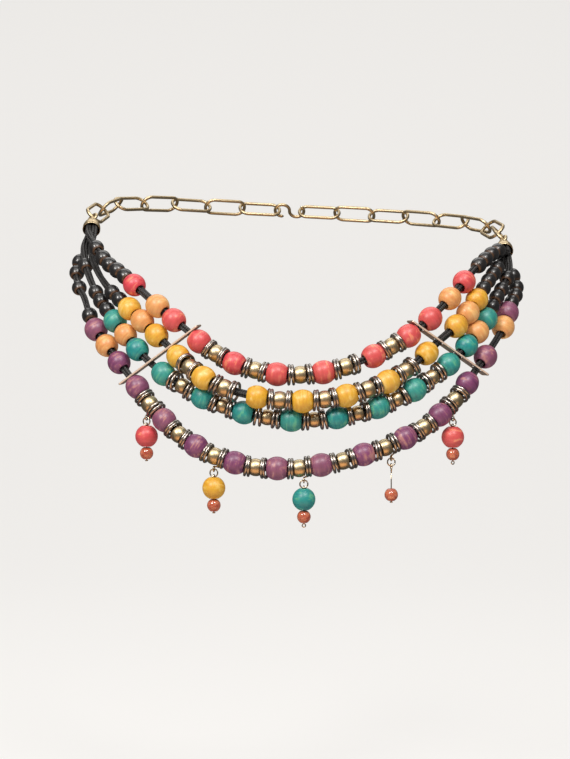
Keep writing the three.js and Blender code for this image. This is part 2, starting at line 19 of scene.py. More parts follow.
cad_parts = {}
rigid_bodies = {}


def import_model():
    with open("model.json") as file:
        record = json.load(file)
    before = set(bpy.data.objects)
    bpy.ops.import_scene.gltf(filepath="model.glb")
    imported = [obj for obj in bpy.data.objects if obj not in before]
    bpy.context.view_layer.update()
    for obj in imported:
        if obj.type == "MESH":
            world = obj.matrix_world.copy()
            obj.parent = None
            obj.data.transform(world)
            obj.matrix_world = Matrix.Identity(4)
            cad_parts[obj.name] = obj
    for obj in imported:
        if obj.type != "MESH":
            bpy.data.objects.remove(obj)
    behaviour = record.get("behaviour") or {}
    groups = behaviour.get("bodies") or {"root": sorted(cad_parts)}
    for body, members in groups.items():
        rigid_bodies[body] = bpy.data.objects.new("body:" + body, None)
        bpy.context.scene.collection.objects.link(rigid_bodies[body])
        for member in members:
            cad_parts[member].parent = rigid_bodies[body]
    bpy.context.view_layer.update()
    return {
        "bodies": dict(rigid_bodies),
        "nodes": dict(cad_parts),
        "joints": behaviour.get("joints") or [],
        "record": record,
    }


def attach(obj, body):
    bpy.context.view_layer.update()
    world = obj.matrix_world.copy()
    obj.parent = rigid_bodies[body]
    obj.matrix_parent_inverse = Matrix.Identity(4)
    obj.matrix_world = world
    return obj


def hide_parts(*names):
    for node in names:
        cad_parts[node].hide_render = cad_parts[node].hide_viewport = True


LOG = logging.getLogger("belt")
MM = 0.001
ROOT_BODY = "belt"
UP = Vector((0, 0, 1))

Row = tuple[float, float, float]
Colour = tuple[float, float, float]


class Dye(Enum):
    """The dyes of the wooden beads, each with its light grain colour, its own colour and its dark colour."""

    RED = ((0.84, 0.29, 0.15), (0.62, 0.040, 0.066), (0.44, 0.019, 0.030))
    YELLOW = ((0.84, 0.54, 0.15), (0.70, 0.36, 0.014), (0.55, 0.205, 0.005))
    TEAL = ((0.14, 0.43, 0.22), (0.006, 0.255, 0.235), (0.001, 0.125, 0.155))
    PURPLE = ((0.50, 0.22, 0.18), (0.195, 0.042, 0.13), (0.10, 0.016, 0.072))
    NATURAL = ((0.84, 0.51, 0.19), (0.70, 0.305, 0.092), (0.56, 0.175, 0.042))

    @property
    def light(self) -> Colour:
        """The colour of the pale grain lines."""
        return self.value[0]

    @property
    def body(self) -> Colour:
        """The colour of most of the bead."""
        return self.value[1]

    @property
    def dark(self) -> Colour:
        """The colour of the dense grain."""
        return self.value[2]

    @property
    def slot(self) -> str:
        """The record's material slot for this dye."""
        return f"wood_{self.name.lower()}"


class Side(Enum):
    """The two sides of the belt, as they stand in the picture."""

    LEFT = "left"
    RIGHT = "right"


@dataclass(frozen=True)
class FigureRow:
    """Half width and half depth of the waist and hips at one height."""

    z: float
    half_width: float
    half_depth: float


FIGURE = (
    FigureRow(-230, 150, 107),
    FigureRow(-144, 148, 106),
    FigureRow(-92, 142, 104),
    FigureRow(-38, 128, 97),
    FigureRow(0, 113, 86),
    FigureRow(40, 108, 82),
)


def mix(a: float, b: float, share: float) -> float:
    """A number between two others."""
    return a + (b - a) * share


def figure_at(z: float) -> tuple[float, float]:
    """Works out the figure's half width and half depth at a height.

    Args:
        z: Height over the waist line.

    Returns:
        The half width and the half depth.
    """
    above = next((i for i, row in enumerate(FIGURE) if row.z >= z), len(FIGURE) - 1)
    high = FIGURE[max(above, 1)]
    low = FIGURE[max(above, 1) - 1]
    share = min(max((z - low.z) / (high.z - low.z), 0), 1)
    return mix(low.half_width, high.half_width, share), mix(low.half_depth, high.half_depth, share)


def place(around: float, drop: float, off: float) -> Vector:
    """Finds a point on the figure.

    Args:
        around: Degrees round from the front.
        drop: Distance below the waist line.
        off: Stand-off from the figure.

    Returns:
        The point.
    """
    turn = math.radians(around)
    width, depth = figure_at(-drop)
    return Vector(((width + off) * math.sin(turn), -(depth + off) * math.cos(turn), -drop))


def outward(point: Vector) -> Vector:
    """The level direction straight away from the figure at a point near it."""
    width, depth = figure_at(point.z)
    return Vector((point.x / width**2, point.y / depth**2, 0)).normalized()


def square_to(direction: Vector, along: Vector) -> Vector:
    """A direction with its share along another one taken out."""
    return (direction - along * direction.dot(along)).normalized()


@dataclass(frozen=True)
class Spot:
    """A point on a path with its directions: along it, away from the figure, and square to both."""

    point: Vector
    along: Vector
    out: Vector

    @property
    def side(self) -> Vector:
        """The third direction of the spot."""
        return self.out.cross(self.along)

    def shifted(self, out: float, side: float) -> Vector:
        """A point beside the path."""
        return self.point + self.out * out + self.side * side

    @property
    def hang(self) -> Vector:
        """The direction square to the path that points most nearly down."""
        return square_to(-UP, self.along)


class Path:
    """A smooth centripetal curve through points, measured along its length."""

    STEPS = 60
    SHORTEST_SPAN = 1e-4
    DIRECTION_REACH = 0.4

    def __init__(self, points: Sequence[Vector]) -> None:
        """Samples the curve.

        Args:
            points: The points that it passes through.
        """
        first = points[0] * 2 - points[1]
        last = points[-1] * 2 - points[-2]
        knots = [first, *points, last]
        self.samples: list[Vector] = []
        for i in range(len(points) - 1):
            span = knots[i : i + 4]
            self.samples += [self._between(span, step / self.STEPS) for step in range(self.STEPS)]
        self.samples.append(points[-1].copy())
        self.reached = [0.0]
        for a, b in zip(self.samples, self.samples[1:]):
            self.reached.append(self.reached[-1] + (b - a).length)

    @classmethod
    def _between(cls, span: Sequence[Vector], t: float) -> Vector:
        """A point between the middle two of four knots."""
        a, b, c, d = span
        gaps = (q - p for p, q in ((a, b), (b, c), (c, d)))
        before, middle, after = (max(gap.length**0.5, cls.SHORTEST_SPAN) for gap in gaps)
        first = (b - a) / before - (c - a) / (before + middle) + (c - b) / middle
        second = (c - b) / middle - (d - b) / (middle + after) + (d - c) / after
        first *= middle
        second *= middle
        square = (c - b) * 3 - first * 2 - second
        cube = (b - c) * 2 + first + second
        return b + first * t + square * t**2 + cube * t**3

    @property
    def length(self) -> float:
        """The whole length of the path."""
        return self.reached[-1]

    def point(self, distance: float) -> Vector:
        """The point at a distance along the path."""
        distance = min(max(distance, 0), self.length)
        i = min(max(bisect_left(self.reached, distance), 1), len(self.reached) - 1)
        span = self.reached[i] - self.reached[i - 1]
        share = (distance - self.reached[i - 1]) / span if span else 0
        return self.samples[i - 1].lerp(self.samples[i], share)

    def spot(self, distance: float) -> Spot:
        """The point and directions at a distance along the path."""
        point = self.point(distance)
        ahead = self.point(distance + self.DIRECTION_REACH)
        along = (ahead - self.point(distance - self.DIRECTION_REACH)).normalized()
        return Spot(point, along, square_to(outward(point), along))

    def nearest(self, point: Vector) -> float:
        """The distance along the path at which it comes nearest to a point."""
        gaps = [(sample - point).length for sample in self.samples]
        return self.reached[gaps.index(min(gaps))]


# Sizes of the cords and of the seams between pieces.
CORD_RADIUS = 2.05
CORD_END_RADIUS = 1.4
CORD_TAPER = 11.0
CORD_LEAD = 4.5
BUNDLE_OFFSET = 1.62
SEAM = 0.3
RING_PLACES = (0.27, 0.73)


@dataclass(frozen=True)
class BeadShape:
    """A turned bead with a bore: its outline is a flattened ball cut off square at both ends."""

    length: float
    radius: float
    face: float
    bore: float
    rim: float = 0.3
    around: int = 28
    rows: int = 12

    def outline(self) -> list[tuple[float, float]]:
        """The closed outline as height and radius pairs, outside first, then back through the bore."""
        half = self.length / 2
        squash = math.sqrt(self.radius**2 - self.face**2) / half
        crown = half - self.rim * 0.5
        outside = []
        for i in range(self.rows + 1):
            z = -crown * math.cos(math.pi * i / self.rows)
            outside.append((z, math.sqrt(self.radius**2 - (z * squash) ** 2)))
        end = outside[-1][1]
        top = [
            (half - self.rim * 0.12, end - self.rim * 0.45),
            (half, end - self.rim),
            (half, mix(end - self.rim, self.bore, 0.6)),
            (half - self.rim * 0.25, self.bore + self.rim * 0.2),
            (half - self.rim, self.bore),
        ]
        bottom = [(-z, r) for z, r in reversed(top)]
        return [*outside, *top, *bottom]

    def form(self) -> "Form":
        """The turned bead, upright."""
        return lathe(self.outline(), self.around)


BEAD_SHAPES = {
    "front_wood": BeadShape(10.4, 6.0, 3.75, 2.65, 0.35),
    "side_wood": BeadShape(11.0, 6.05, 3.2, 2.55, 0.35, 32, 14),
    "brass": BeadShape(5.7, 4.5, 3.7, 2.7, 0.4, 24),
    "small_brass": BeadShape(5.1, 4.0, 3.3, 2.5, 0.35, 24),
    "dark": BeadShape(7.7, 4.2, 2.4, 2.08, 0.2, 26),
    "drop_wood": BeadShape(10.8, 5.85, 2.3, 1.65, 0.3, 32, 14),
    "amber": BeadShape(6.2, 3.45, 1.5, 0.6, 0.2),
}
STRIP_THICKNESS = 0.9


@dataclass(frozen=True)
class Strand:
    """One beaded cord: its route on the figure, and its beads by distances along it.

    Route rows are degrees round from the front, drop and stand-off. Pitches lie between neighbouring
    front beads, from the bead after the left strip; bare_after holds the bare cord within one by its number.
    Side beads are counted away from their strip. The corner is the strand's quarter of the bundle in the
    caps. Twisted rings are given by the number of their gap and their number in it.
    """

    name: str
    dye: Dye
    left: tuple[Row, ...]
    front: tuple[Row, ...]
    right: tuple[Row, ...]
    first_wood: float
    pitches: tuple[float, ...]
    bare_after: dict[int, float]
    left_wood: tuple[float, ...]
    right_wood: tuple[float, ...]
    left_dark: tuple[float, ...]
    right_dark: tuple[float, ...]
    corner: tuple[int, int]
    small_brass: bool = False
    twisted: tuple[tuple[int, int], ...] = ()

    @property
    def brass(self) -> BeadShape:
        """The shape of this strand's brass beads."""
        return BEAD_SHAPES["small_brass" if self.small_brass else "brass"]


STRANDS = (
    Strand(
        name="red",
        dye=Dye.RED,
        left=(
            (-73, 4.6, 6.4), (-66, 9.6, 6), (-61, 14.3, 5.7), (-54, 22, 5), (-47, 28.1, 4.8),
            (-40, 35.2, 6.2), (-32, 46.8, 6.5),
        ),
        front=(
            (-18, 70, 6.5), (-12, 77.6, 6.5), (-6, 81.8, 6.5), (0, 82.9, 6.5), (6, 81.2, 6.5),
            (12, 77.1, 6.5), (18, 70.6, 6.5),
        ),
        right=(
            (32, 50.2, 6.5), (40, 36.7, 6.2), (47, 27.6, 4.8), (54, 20.8, 4.8),
            (61, 15.6, 5.2), (65, 14, 6.2),
        ),
        first_wood=7.2,
        pitches=(21.9, 22.6, 23.5, 27.4, 22),
        bare_after={3: 4},
        left_wood=(11.4, 24.3, 44.6),
        right_wood=(8.5, 25.9, 41.2),
        left_dark=(55, 63.6, 72, 80.6, 92.6),
        right_dark=(60.2, 68.6, 77, 85.6),
        corner=(1, 1),
    ),
    Strand(
        name="yellow",
        dye=Dye.YELLOW,
        left=(
            (-73, 9, 3.2), (-66.5, 17.3, 3.2), (-57, 28.4, 3.4), (-48, 38.2, 5),
            (-44, 42.8, 5.8), (-38, 50.4, 6.6),
        ),
        front=(
            (-18, 84.2, 12.9), (-12, 91.1, 12.5), (-6, 94.6, 12.4), (0, 96.1, 12.4),
            (6, 94.9, 12.4), (12, 91.4, 11.8), (18, 86, 10), (24, 78, 7.8),
        ),
        right=(
            (36, 58.4, 6.5), (42, 48.2, 6.5), (48, 38.3, 5), (54, 30.4, 4.8), (60, 24.6, 4.4),
            (63, 22.2, 3.4), (66.5, 19.4, 3.2),
        ),
        first_wood=7.8,
        pitches=(20.7, 29.2, 23, 22.2, 23.4, 28.3),
        bare_after={1: 5, 5: 4.6},
        left_wood=(10.6, 22.5, 33.8),
        right_wood=(14.3, 25.6, 36.9),
        left_dark=(43.6, 51.8),
        right_dark=(46.8, 54.8, 62.8, 70.8),
        corner=(-1, 1),
        twisted=((0, 2), (0, 3), (1, 0)),
    ),
    Strand(
        name="teal",
        dye=Dye.TEAL,
        left=(
            (-74.5, 10, 6.4), (-71, 15.5, 5.8), (-66, 23, 4.8), (-58, 33.5, 4.5),
            (-52, 42.2, 4.8), (-46, 51.2, 5.2), (-38, 64.6, 6.5),
        ),
        front=(
            (-24, 87.6, 6.5), (-18, 95.1, 6.5), (-12, 100.7, 6.5), (-6, 104.2, 6.5),
            (0, 105.6, 6.5), (6, 105, 6.5), (12, 102.2, 6.5), (18, 97.3, 6.5), (24, 90.4, 6.5),
            (30, 81.7, 6.5),
        ),
        right=(
            (42, 61.8, 6.3), (48, 51.9, 5.2), (54, 41.2, 4.8), (60, 33.8, 4.8),
            (64.5, 27.8, 5.4), (67, 23, 6.2), (68, 19.5, 6.6),
        ),
        first_wood=10.4,
        pitches=(25.5, 22.5, 24.4, 23.1, 21.7, 21.7, 24.7),
        bare_after={},
        left_wood=(10.6, 22.4, 34.4),
        right_wood=(8.1, 19.5, 30.9),
        left_dark=(44.2, 52.4, 60.6, 87.6),
        right_dark=(40.6, 48.7, 56.8, 69),
        corner=(1, -1),
        small_brass=True,
        twisted=((6, 0),),
    ),
    Strand(
        name="purple",
        dye=Dye.PURPLE,
        left=(
            (-76, 12, 3.4), (-77, 18, 4.8), (-73.5, 26, 4.8), (-65, 35, 4.8), (-60, 41, 4.5),
            (-55, 50.5, 4.8), (-50, 58.6, 6), (-42, 72.3, 6.5),
        ),
        front=(
            (-30, 98.9, 6.5), (-24, 112.2, 6.5), (-18, 121.6, 6.5), (-12, 127.4, 6.5),
            (-6, 130, 6.5), (0, 130, 6.5), (6, 127.9, 6.5), (12, 124, 6.5), (18, 118.9, 6.5),
            (24, 112, 6.5), (30, 102.6, 6.5), (36, 89.8, 6.5),
        ),
        right=(
            (46, 69.3, 6.5), (52, 58.8, 6.3), (56.5, 50, 5.6), (60, 45, 4.8), (63.5, 41, 4.8),
            (67, 37, 4.8), (70, 31.5, 4.8), (71, 25, 3.8), (70, 20.5, 3.2),
        ),
        first_wood=7.2,
        pitches=(23.4, 22, 22.1, 21.6, 22.3, 22.4, 23.6, 22.9, 23.8),
        bare_after={},
        left_wood=(11.4, 25.3, 38.9),
        right_wood=(9.8, 34.2, 45.7),
        left_dark=(51, 76.2, 94.4, 102.8),
        right_dark=(55.7, 63.8, 71.9, 80),
        corner=(-1, -1),
        twisted=((3, 0), (3, 3), (7, 0),),
    ),
)


@dataclass(frozen=True)
class StripPlace:
    """A strip's two end holes, and its lean about its own length in degrees."""

    red: Row
    purple: Row
    lean: float


STRIP_PLACES = {
    Side.LEFT: StripPlace((-22.9, 61.4, 7), (-36, 84.2, 7), -9),
    Side.RIGHT: StripPlace((26.7, 58.8, 7), (40.3, 79.7, 7), 5),
}


@dataclass(frozen=True)
class CapPlace:
    """Where a cap's mouth is, the place that its tip points at, and which way its cords are counted."""

    mouth: Row
    aim: Row
    hand: int


CAP_PLACES = {
    Side.LEFT: CapPlace((-79, 0.5, 5), (-87, -9, 5), 1),
    Side.RIGHT: CapPlace((70.5, 14, 5), (80, 4, 5), -1),
}

CHAIN_ROUTE: tuple[Row, ...] = (
    (-112, -20, 6.4), (-135, -24, 6.4), (-160, -24, 6.4), (-185, -22, 6.4),
    (-210, -18, 6.4), (-235, -12, 6.4), (-257, -5, 6.4),
)


@dataclass(frozen=True)
class DropPlace:
    """A hanging drop's place and make.

    It has its gap between purple beads, the number of its ring there, how far it leans along the strand,
    the dye of its wooden bead if it has one, and whether its pin ends in a loop.
    """

    gap: int
    ring: int
    lean: float
    dye: Dye | None
    looped_tail: bool


DROP_PLACES = (
    DropPlace(0, 3, -2.1, Dye.RED, False),
    DropPlace(2, 2, -1.9, Dye.YELLOW, False),
    DropPlace(4, 2, -2.0, Dye.TEAL, True),
    DropPlace(6, 2, -2.9, None, False),
    DropPlace(8, 0, -1.6, Dye.RED, True),
)


class Socket:
    """A shader socket that takes part in number expressions, each of which adds its Math nodes."""

    def __init__(self, shader: "Shader", link: bpy.types.NodeSocket) -> None:
        """Keeps the shader that the socket belongs to."""
        self.shader = shader
        self.link = link

    def _math(self, operation: str, *values: "Socket | float") -> "Socket":
        """Adds one Math node.

        Args:
            operation: The node's operation.
            values: Its inputs in order.

        Returns:
            Its result.
        """
        node = self.shader.node("ShaderNodeMath", {"operation": operation}, dict(enumerate(values)))
        return Socket(self.shader, node.outputs[0])

    def __add__(self, other: "Socket | float") -> "Socket":
        """Sum."""
        return self._math("ADD", self, other)

    __radd__ = __add__

    def __sub__(self, other: "Socket | float") -> "Socket":
        """Difference."""
        return self._math("SUBTRACT", self, other)

    def __rsub__(self, other: float) -> "Socket":
        """Difference the other way round."""
        return self._math("SUBTRACT", other, self)

    def __mul__(self, other: "Socket | float") -> "Socket":
        """Product."""
        return self._math("MULTIPLY", self, other)

    __rmul__ = __mul__

    def __truediv__(self, other: "Socket | float") -> "Socket":
        """Quotient."""
        return self._math("DIVIDE", self, other)

    def sine(self) -> "Socket":
        """Sine of the value."""
        return self._math("SINE", self)

    def size(self) -> "Socket":
        """The value without its sign."""
        return self._math("ABSOLUTE", self)

    def angle_from(self, other: "Socket") -> "Socket":
        """The angle whose rise is this value and whose run is the other."""
        return self._math("ARCTAN2", self, other)

    def step(self, low: float, high: float) -> "Socket":
        """A smooth step from nought at one value to one at another.

        Args:
            low: Where the result is nought.
            high: Where the result is one.

        Returns:
            The stepped value.
        """
        settings = {"interpolation_type": "SMOOTHSTEP", "clamp": True}
        values = {"Value": self, "From Min": low, "From Max": high}
        node = self.shader.node("ShaderNodeMapRange", settings, values)
        return Socket(self.shader, node.outputs["Result"])

    def mapped(self, low: float, high: float) -> "Socket":
        """The share from nought to one laid between two numbers."""
        return self * (high - low) + low


class Tree:
    """A node tree under construction, with one method that adds any node."""

    def __init__(self, tree: bpy.types.NodeTree) -> None:
        """Keeps the tree."""
        self.tree = tree

    def node(self, kind: str, settings: dict | None = None, values: dict | None = None) -> bpy.types.Node:
        """Adds a node.

        Args:
            kind: The node's type.
            settings: Its properties, set first.
            values: Values or links by socket name or number.

        Returns:
            The node.
        """
        node = self.tree.nodes.new(kind)
        for key, value in (settings or {}).items():
            setattr(node, key, value)
        for key, value in (values or {}).items():
            self._feed(self._input(node, key), value)
        return node

    @staticmethod
    def _input(node: bpy.types.Node, key: str | int) -> bpy.types.NodeSocket:
        """The enabled input with a name, or the one with a number."""
        if isinstance(key, int):
            return node.inputs[key]
        return next(socket for socket in node.inputs if socket.name == key and socket.enabled)

    def _feed(self, socket: bpy.types.NodeSocket, value: object) -> None:
        """Links or sets one input."""
        source = value.link if isinstance(value, Socket) else value
        if isinstance(source, bpy.types.NodeSocket):
            self.tree.links.new(source, socket)
        else:
            socket.default_value = (*source, 1) if socket.type == "RGBA" else source

    @staticmethod
    def result(node: bpy.types.Node) -> bpy.types.NodeSocket:
        """The first output that is in use."""
        return next(socket for socket in node.outputs if socket.enabled)


class Shader(Tree):
    """A material under construction."""

    def __init__(self, name: str) -> None:
        """Makes an empty node material."""
        self.material = bpy.data.materials.new(name)
        self.material.use_nodes = True
        super().__init__(self.material.node_tree)
        self.tree.nodes.clear()

    def attribute(self, name: str, output: str = "Fac") -> Socket:
        """A named attribute of the mesh."""
        node = self.node("ShaderNodeAttribute", {"attribute_name": name})
        return Socket(self, node.outputs[output])

    def parts(self, name: str) -> tuple[Socket, Socket, Socket]:
        """The three numbers of a vector attribute of the mesh."""
        node = self.node("ShaderNodeSeparateXYZ", None, {"Vector": self.attribute(name, "Vector")})
        return tuple(Socket(self, node.outputs[axis]) for axis in "XYZ")

    def vector(self, x: Socket, y: Socket, z: Socket) -> Socket:
        """A vector from three numbers."""
        node = self.node("ShaderNodeCombineXYZ", None, {"X": x, "Y": y, "Z": z})
        return Socket(self, node.outputs["Vector"])

    def drifted(self, where: Sequence[Socket], seed: Socket, drift: Row) -> Socket:
        """A place that every seed moves by its own amount, so that no two beads look alike."""
        return self.vector(*(part + seed * step for part, step in zip(where, drift)))

    def noise(
        self, where: Socket, scale: float, detail: float = 2, rough: float = 0.5, bend: float = 0
    ) -> Socket:
        """A noise value from nought to one.

        Args:
            where: The place at which it is read.
            scale: How fine it is.
            detail: Its octaves.
            rough: How strong the fine octaves are.
            bend: Its distortion.

        Returns:
            The value.
        """
        values = {"Vector": where, "Scale": scale, "Detail": detail, "Roughness": rough, "Distortion": bend}
        return Socket(self, self.node("ShaderNodeTexNoise", None, values).outputs[0])

    def blend(self, share: Socket, a: object, b: object) -> Socket:
        """A colour between two others."""
        values = {"Factor": share, "A": a, "B": b}
        return Socket(self, self.result(self.node("ShaderNodeMix", {"data_type": "RGBA"}, values)))

    def bump(self, height: Socket, depth: float, strength: float) -> Socket:
        """A normal from a height, whose whole range is a depth in metres."""
        values = {"Height": height, "Distance": depth, "Strength": strength}
        return Socket(self, self.node("ShaderNodeBump", None, values).outputs["Normal"])

    def finish(self, **values: object) -> bpy.types.Material:
        """Ends the material in one Principled shader.

        Args:
            values: Its sockets, with underscores for spaces.

        Returns:
            The material.
        """
        named = {key.replace("_", " "): value for key, value in values.items()}
        surface = self.node("ShaderNodeBsdfPrincipled", None, named)
        self.node("ShaderNodeOutputMaterial", None, {"Surface": surface.outputs["BSDF"]})
        return self.material


@dataclass(frozen=True)
class DyedWood:
    """Dyed and lacquered wood: fine grain lines, blotches where the dye took, and a satin coat."""

    dye: Dye
    grain_turn: float = 1.7
    pale_strength: float = 0.75
    tone_strength: float = 0.18
    smoothest: float = 0.42
    roughest: float = 0.54

    def material(self) -> bpy.types.Material:
        """Builds the finish."""
        shader = Shader(f"{self.dye.name.lower()}_wood")
        seed = shader.attribute("seed")
        x, y, z = shader.parts("local")
        turn = seed * self.grain_turn
        sine, cosine = turn.sine(), (turn + math.pi / 2).sine()
        along = x * cosine + y * sine
        across = y * cosine - x * sine
        wide = shader.drifted((along * 0.05, across * 0.2, z * 0.5), seed, (1, 3.1, 7.3))
        narrow = shader.drifted((along * 0.2, across * 1.6, z * 1.9), seed, (1, -1, 5.3))
        bands = shader.noise(wide, 1.0, 3, 0.5, 0.4)
        fine = shader.noise(narrow, 1.0, 3, 0.6, 0.4)
        blotch = shader.noise(shader.drifted((x, y, z), seed, (5.7, -2.3, 9.1)), 0.2)
        grain = bands * 0.8 + fine * 0.2
        pale = grain.step(0.5, 0.64) * blotch.step(0.36, 0.56)
        dense = (1 - grain).step(0.48, 0.62) * 0.5 + (1 - blotch).step(0.5, 0.7) * 0.25
        dense = dense + fine.step(0.52, 0.68) * 0.22
        colour = shader.blend(pale * self.pale_strength, self.dye.body, self.dye.light)
        colour = shader.blend(dense, colour, self.dye.dark)
        return shader.finish(
            Base_Color=shader.blend(shader.attribute("tone") * self.tone_strength, colour, self.dye.light),
            Roughness=fine.mapped(self.smoothest, self.roughest),
            Normal=shader.bump(fine * 0.7 + bands * 0.3, 0.00005, 0.4),
            Coat_Weight=0.42,
            Coat_Roughness=0.33,
            Specular_IOR_Level=0.5,
            Subsurface_Weight=0.05,
            Subsurface_Radius=(0.0015, 0.0006, 0.0003),
        )


@dataclass(frozen=True)
class AgedMetal:
    """A worn metal: bright and worn in random spots, tarnished in patches, with small dents, and, if asked, a
    painted highlight along its two long edges.
    """

    name: str
    bright: Colour
    worn: Colour
    tarnish: Colour
    smooth: float
    dull: float
    patches: float = 0.55
    dents: float = 0.00012
    metal: float = 1.0
    # Where the painted edge highlight starts across the piece, and how much it lightens the bright colour.
    edge_highlight_from: float | None = None
    edge_highlight_gain: float = 1.3

    def material(self) -> bpy.types.Material:
        """Builds the finish."""
        shader = Shader(self.name)
        seed = shader.attribute("seed")
        x, y, z = shader.parts("local")
        where = shader.drifted((x, y, z), seed, (7.7, 4.3, -6.1))
        broad = shader.noise(where, 0.42, 3, 0.55)
        fine = shader.noise(where, 2.3, 4, 0.6)
        scratch = shader.noise(shader.drifted((x * 0.7, y * 5, z * 5), seed, (1, 0, 0)), 1.4, 3, 0.6)
        dark = (broad * 0.6 + fine * 0.4).step(self.patches, self.patches + 0.16)
        colour = shader.blend(fine.step(0.35, 0.7), self.bright, self.worn)
        colour = shader.blend(dark * 0.8, colour, self.tarnish)
        metal = dark.mapped(self.metal, self.metal * 0.82)
        # Painted highlight: the band near both long edges is made lighter and less metallic, standing in for
        # the light that the edges catch.
        if self.edge_highlight_from is not None:
            edge_highlight = (y.size() + fine * 0.3).step(self.edge_highlight_from, self.edge_highlight_from + 0.25)
            highlight_colour = tuple(min(1.0, part * self.edge_highlight_gain) for part in self.bright)
            colour = shader.blend(edge_highlight * 0.85, colour, highlight_colour)
            metal = metal * (1 - edge_highlight * 0.5)
        return shader.finish(
            Base_Color=colour,
            Metallic=metal,
            Roughness=dark.mapped(self.smooth, self.dull) + scratch.step(0.55, 0.75) * 0.08,
            Normal=shader.bump(broad * 0.7 + fine * 0.2 + scratch * 0.1, self.dents, 0.6),
        )


@dataclass(frozen=True)
class DarkGloss:
    """A dark polished bead with a painted warm brown reflection at both ends, round its hole."""

    body: Colour = (0.009, 0.009, 0.010)
    haze: Colour = (0.026, 0.020, 0.017)
    # Colour of the painted warm reflection at the bead's ends.
    edge: Colour = (0.085, 0.036, 0.013)
    half_length: float = 3.8

    def material(self) -> bpy.types.Material:
        """Builds the finish."""
        shader = Shader("dark_bead")
        where = shader.parts("local")
        smear = shader.noise(shader.drifted(where, shader.attribute("seed"), (5.1, 3.3, 8.7)), 0.5, 3, 0.6)
        # Painted reflection: the bead's ends are tinted brown and made rougher, standing in for warm light
        # reflected at the rims.
        edge = (where[2].size() / self.half_length + smear * 0.14).step(0.80, 1.0)
        colour = shader.blend(smear.step(0.4, 0.7) * 0.5, self.body, self.haze)
        return shader.finish(
            Base_Color=shader.blend(edge * 0.9, colour, self.edge),
            Roughness=smear.mapped(0.29, 0.36) + edge * 0.1,
            Normal=shader.bump(smear, 0.00003, 0.3),
            Specular_IOR_Level=0.6,
            Coat_Weight=0.4,
            Coat_Roughness=0.2,
        )


@dataclass(frozen=True)
class WaxedBraid:
    """A waxed black braid: slanting strands cross round the cord, with a painted grey highlight on their
    crowns.
    """

    crossings: int = 4
    turns_per_mm: float = 2.6
    black: Colour = (0.004, 0.0038, 0.004)
    # Colour of the painted highlight on the crowns of the strands.
    crown: Colour = (0.085, 0.08, 0.079)
    fluff: Colour = (0.13, 0.12, 0.115)

    def material(self) -> bpy.types.Material:
        """Builds the finish."""
        shader = Shader("waxed_braid")
        x, y, _ = shader.parts("round")
        angle = y.angle_from(x) * float(self.crossings)
        run = shader.attribute("run") * (1 / MM * self.turns_per_mm)
        weave = ((angle + run).sine() * (angle - run).sine()) * 0.5 + 0.5
        fuzz = shader.noise(shader.vector(angle, run, shader.attribute("seed")), 1.7, 3, 0.6)
        # Painted highlight: the raised crowns of the weave are made lighter grey, standing in for the light
        # that they catch.
        colour = shader.blend(weave.step(0.45, 1.0), self.black, self.crown)
        return shader.finish(
            Base_Color=shader.blend(fuzz.step(0.5, 0.75) * 0.5, colour, self.fluff),
            Roughness=weave.mapped(0.6, 0.38),
            Normal=shader.bump(weave * 0.8 + fuzz * 0.2, 0.00022, 0.9),
            Specular_IOR_Level=0.4,
        )


@dataclass(frozen=True)
class AmberGlass:
    """Cloudy orange-red glass with darker swirls under a clear polish."""

    light: Colour = (0.66, 0.20, 0.105)
    deep: Colour = (0.42, 0.085, 0.05)
    half_length: float = 3.1

    def material(self) -> bpy.types.Material:
        """Builds the finish."""
        shader = Shader("amber_glass")
        x, y, z = shader.parts("local")
        where = shader.drifted((x, y, z * 1.6), shader.attribute("seed"), (3.7, 9.1, 1))
        swirl = shader.noise(where, 0.24, 2, 0.5, 0.8)
        colour = shader.blend(swirl.step(0.35, 0.68), self.light, self.deep)
        ends = (z.size() / self.half_length).step(0.6, 1.0) * 0.55
        return shader.finish(
            Base_Color=shader.blend(ends, colour, self.deep),
            Roughness=swirl.mapped(0.07, 0.14),
            Normal=shader.bump(swirl, 0.00003, 0.2),
            Transmission_Weight=0.12,
            IOR=1.5,
            Coat_Weight=0.8,
            Coat_Roughness=0.04,
            Subsurface_Weight=0.25,
            Subsurface_Radius=(0.004, 0.0012, 0.0004),
        )


@dataclass(frozen=True)
class PalePlain:
    """The plain pale studio floor, which glows a little so that it stays even."""

    colour: Colour = (0.80, 0.785, 0.765)
    glow: float = 0.88
    soak: float = 0.25

    def material(self) -> bpy.types.Material:
        """Builds the finish."""
        shader = Shader("pale_floor")
        return shader.finish(
            Base_Color=tuple(part * self.soak for part in self.colour),
            Roughness=0.9,
            Specular_IOR_Level=0.1,
            Emission_Color=self.colour,
            Emission_Strength=self.glow,
        )


@dataclass(frozen=True)
class Look:
    """A built finish with the record's material slot."""

    material: bpy.types.Material
    slot: str


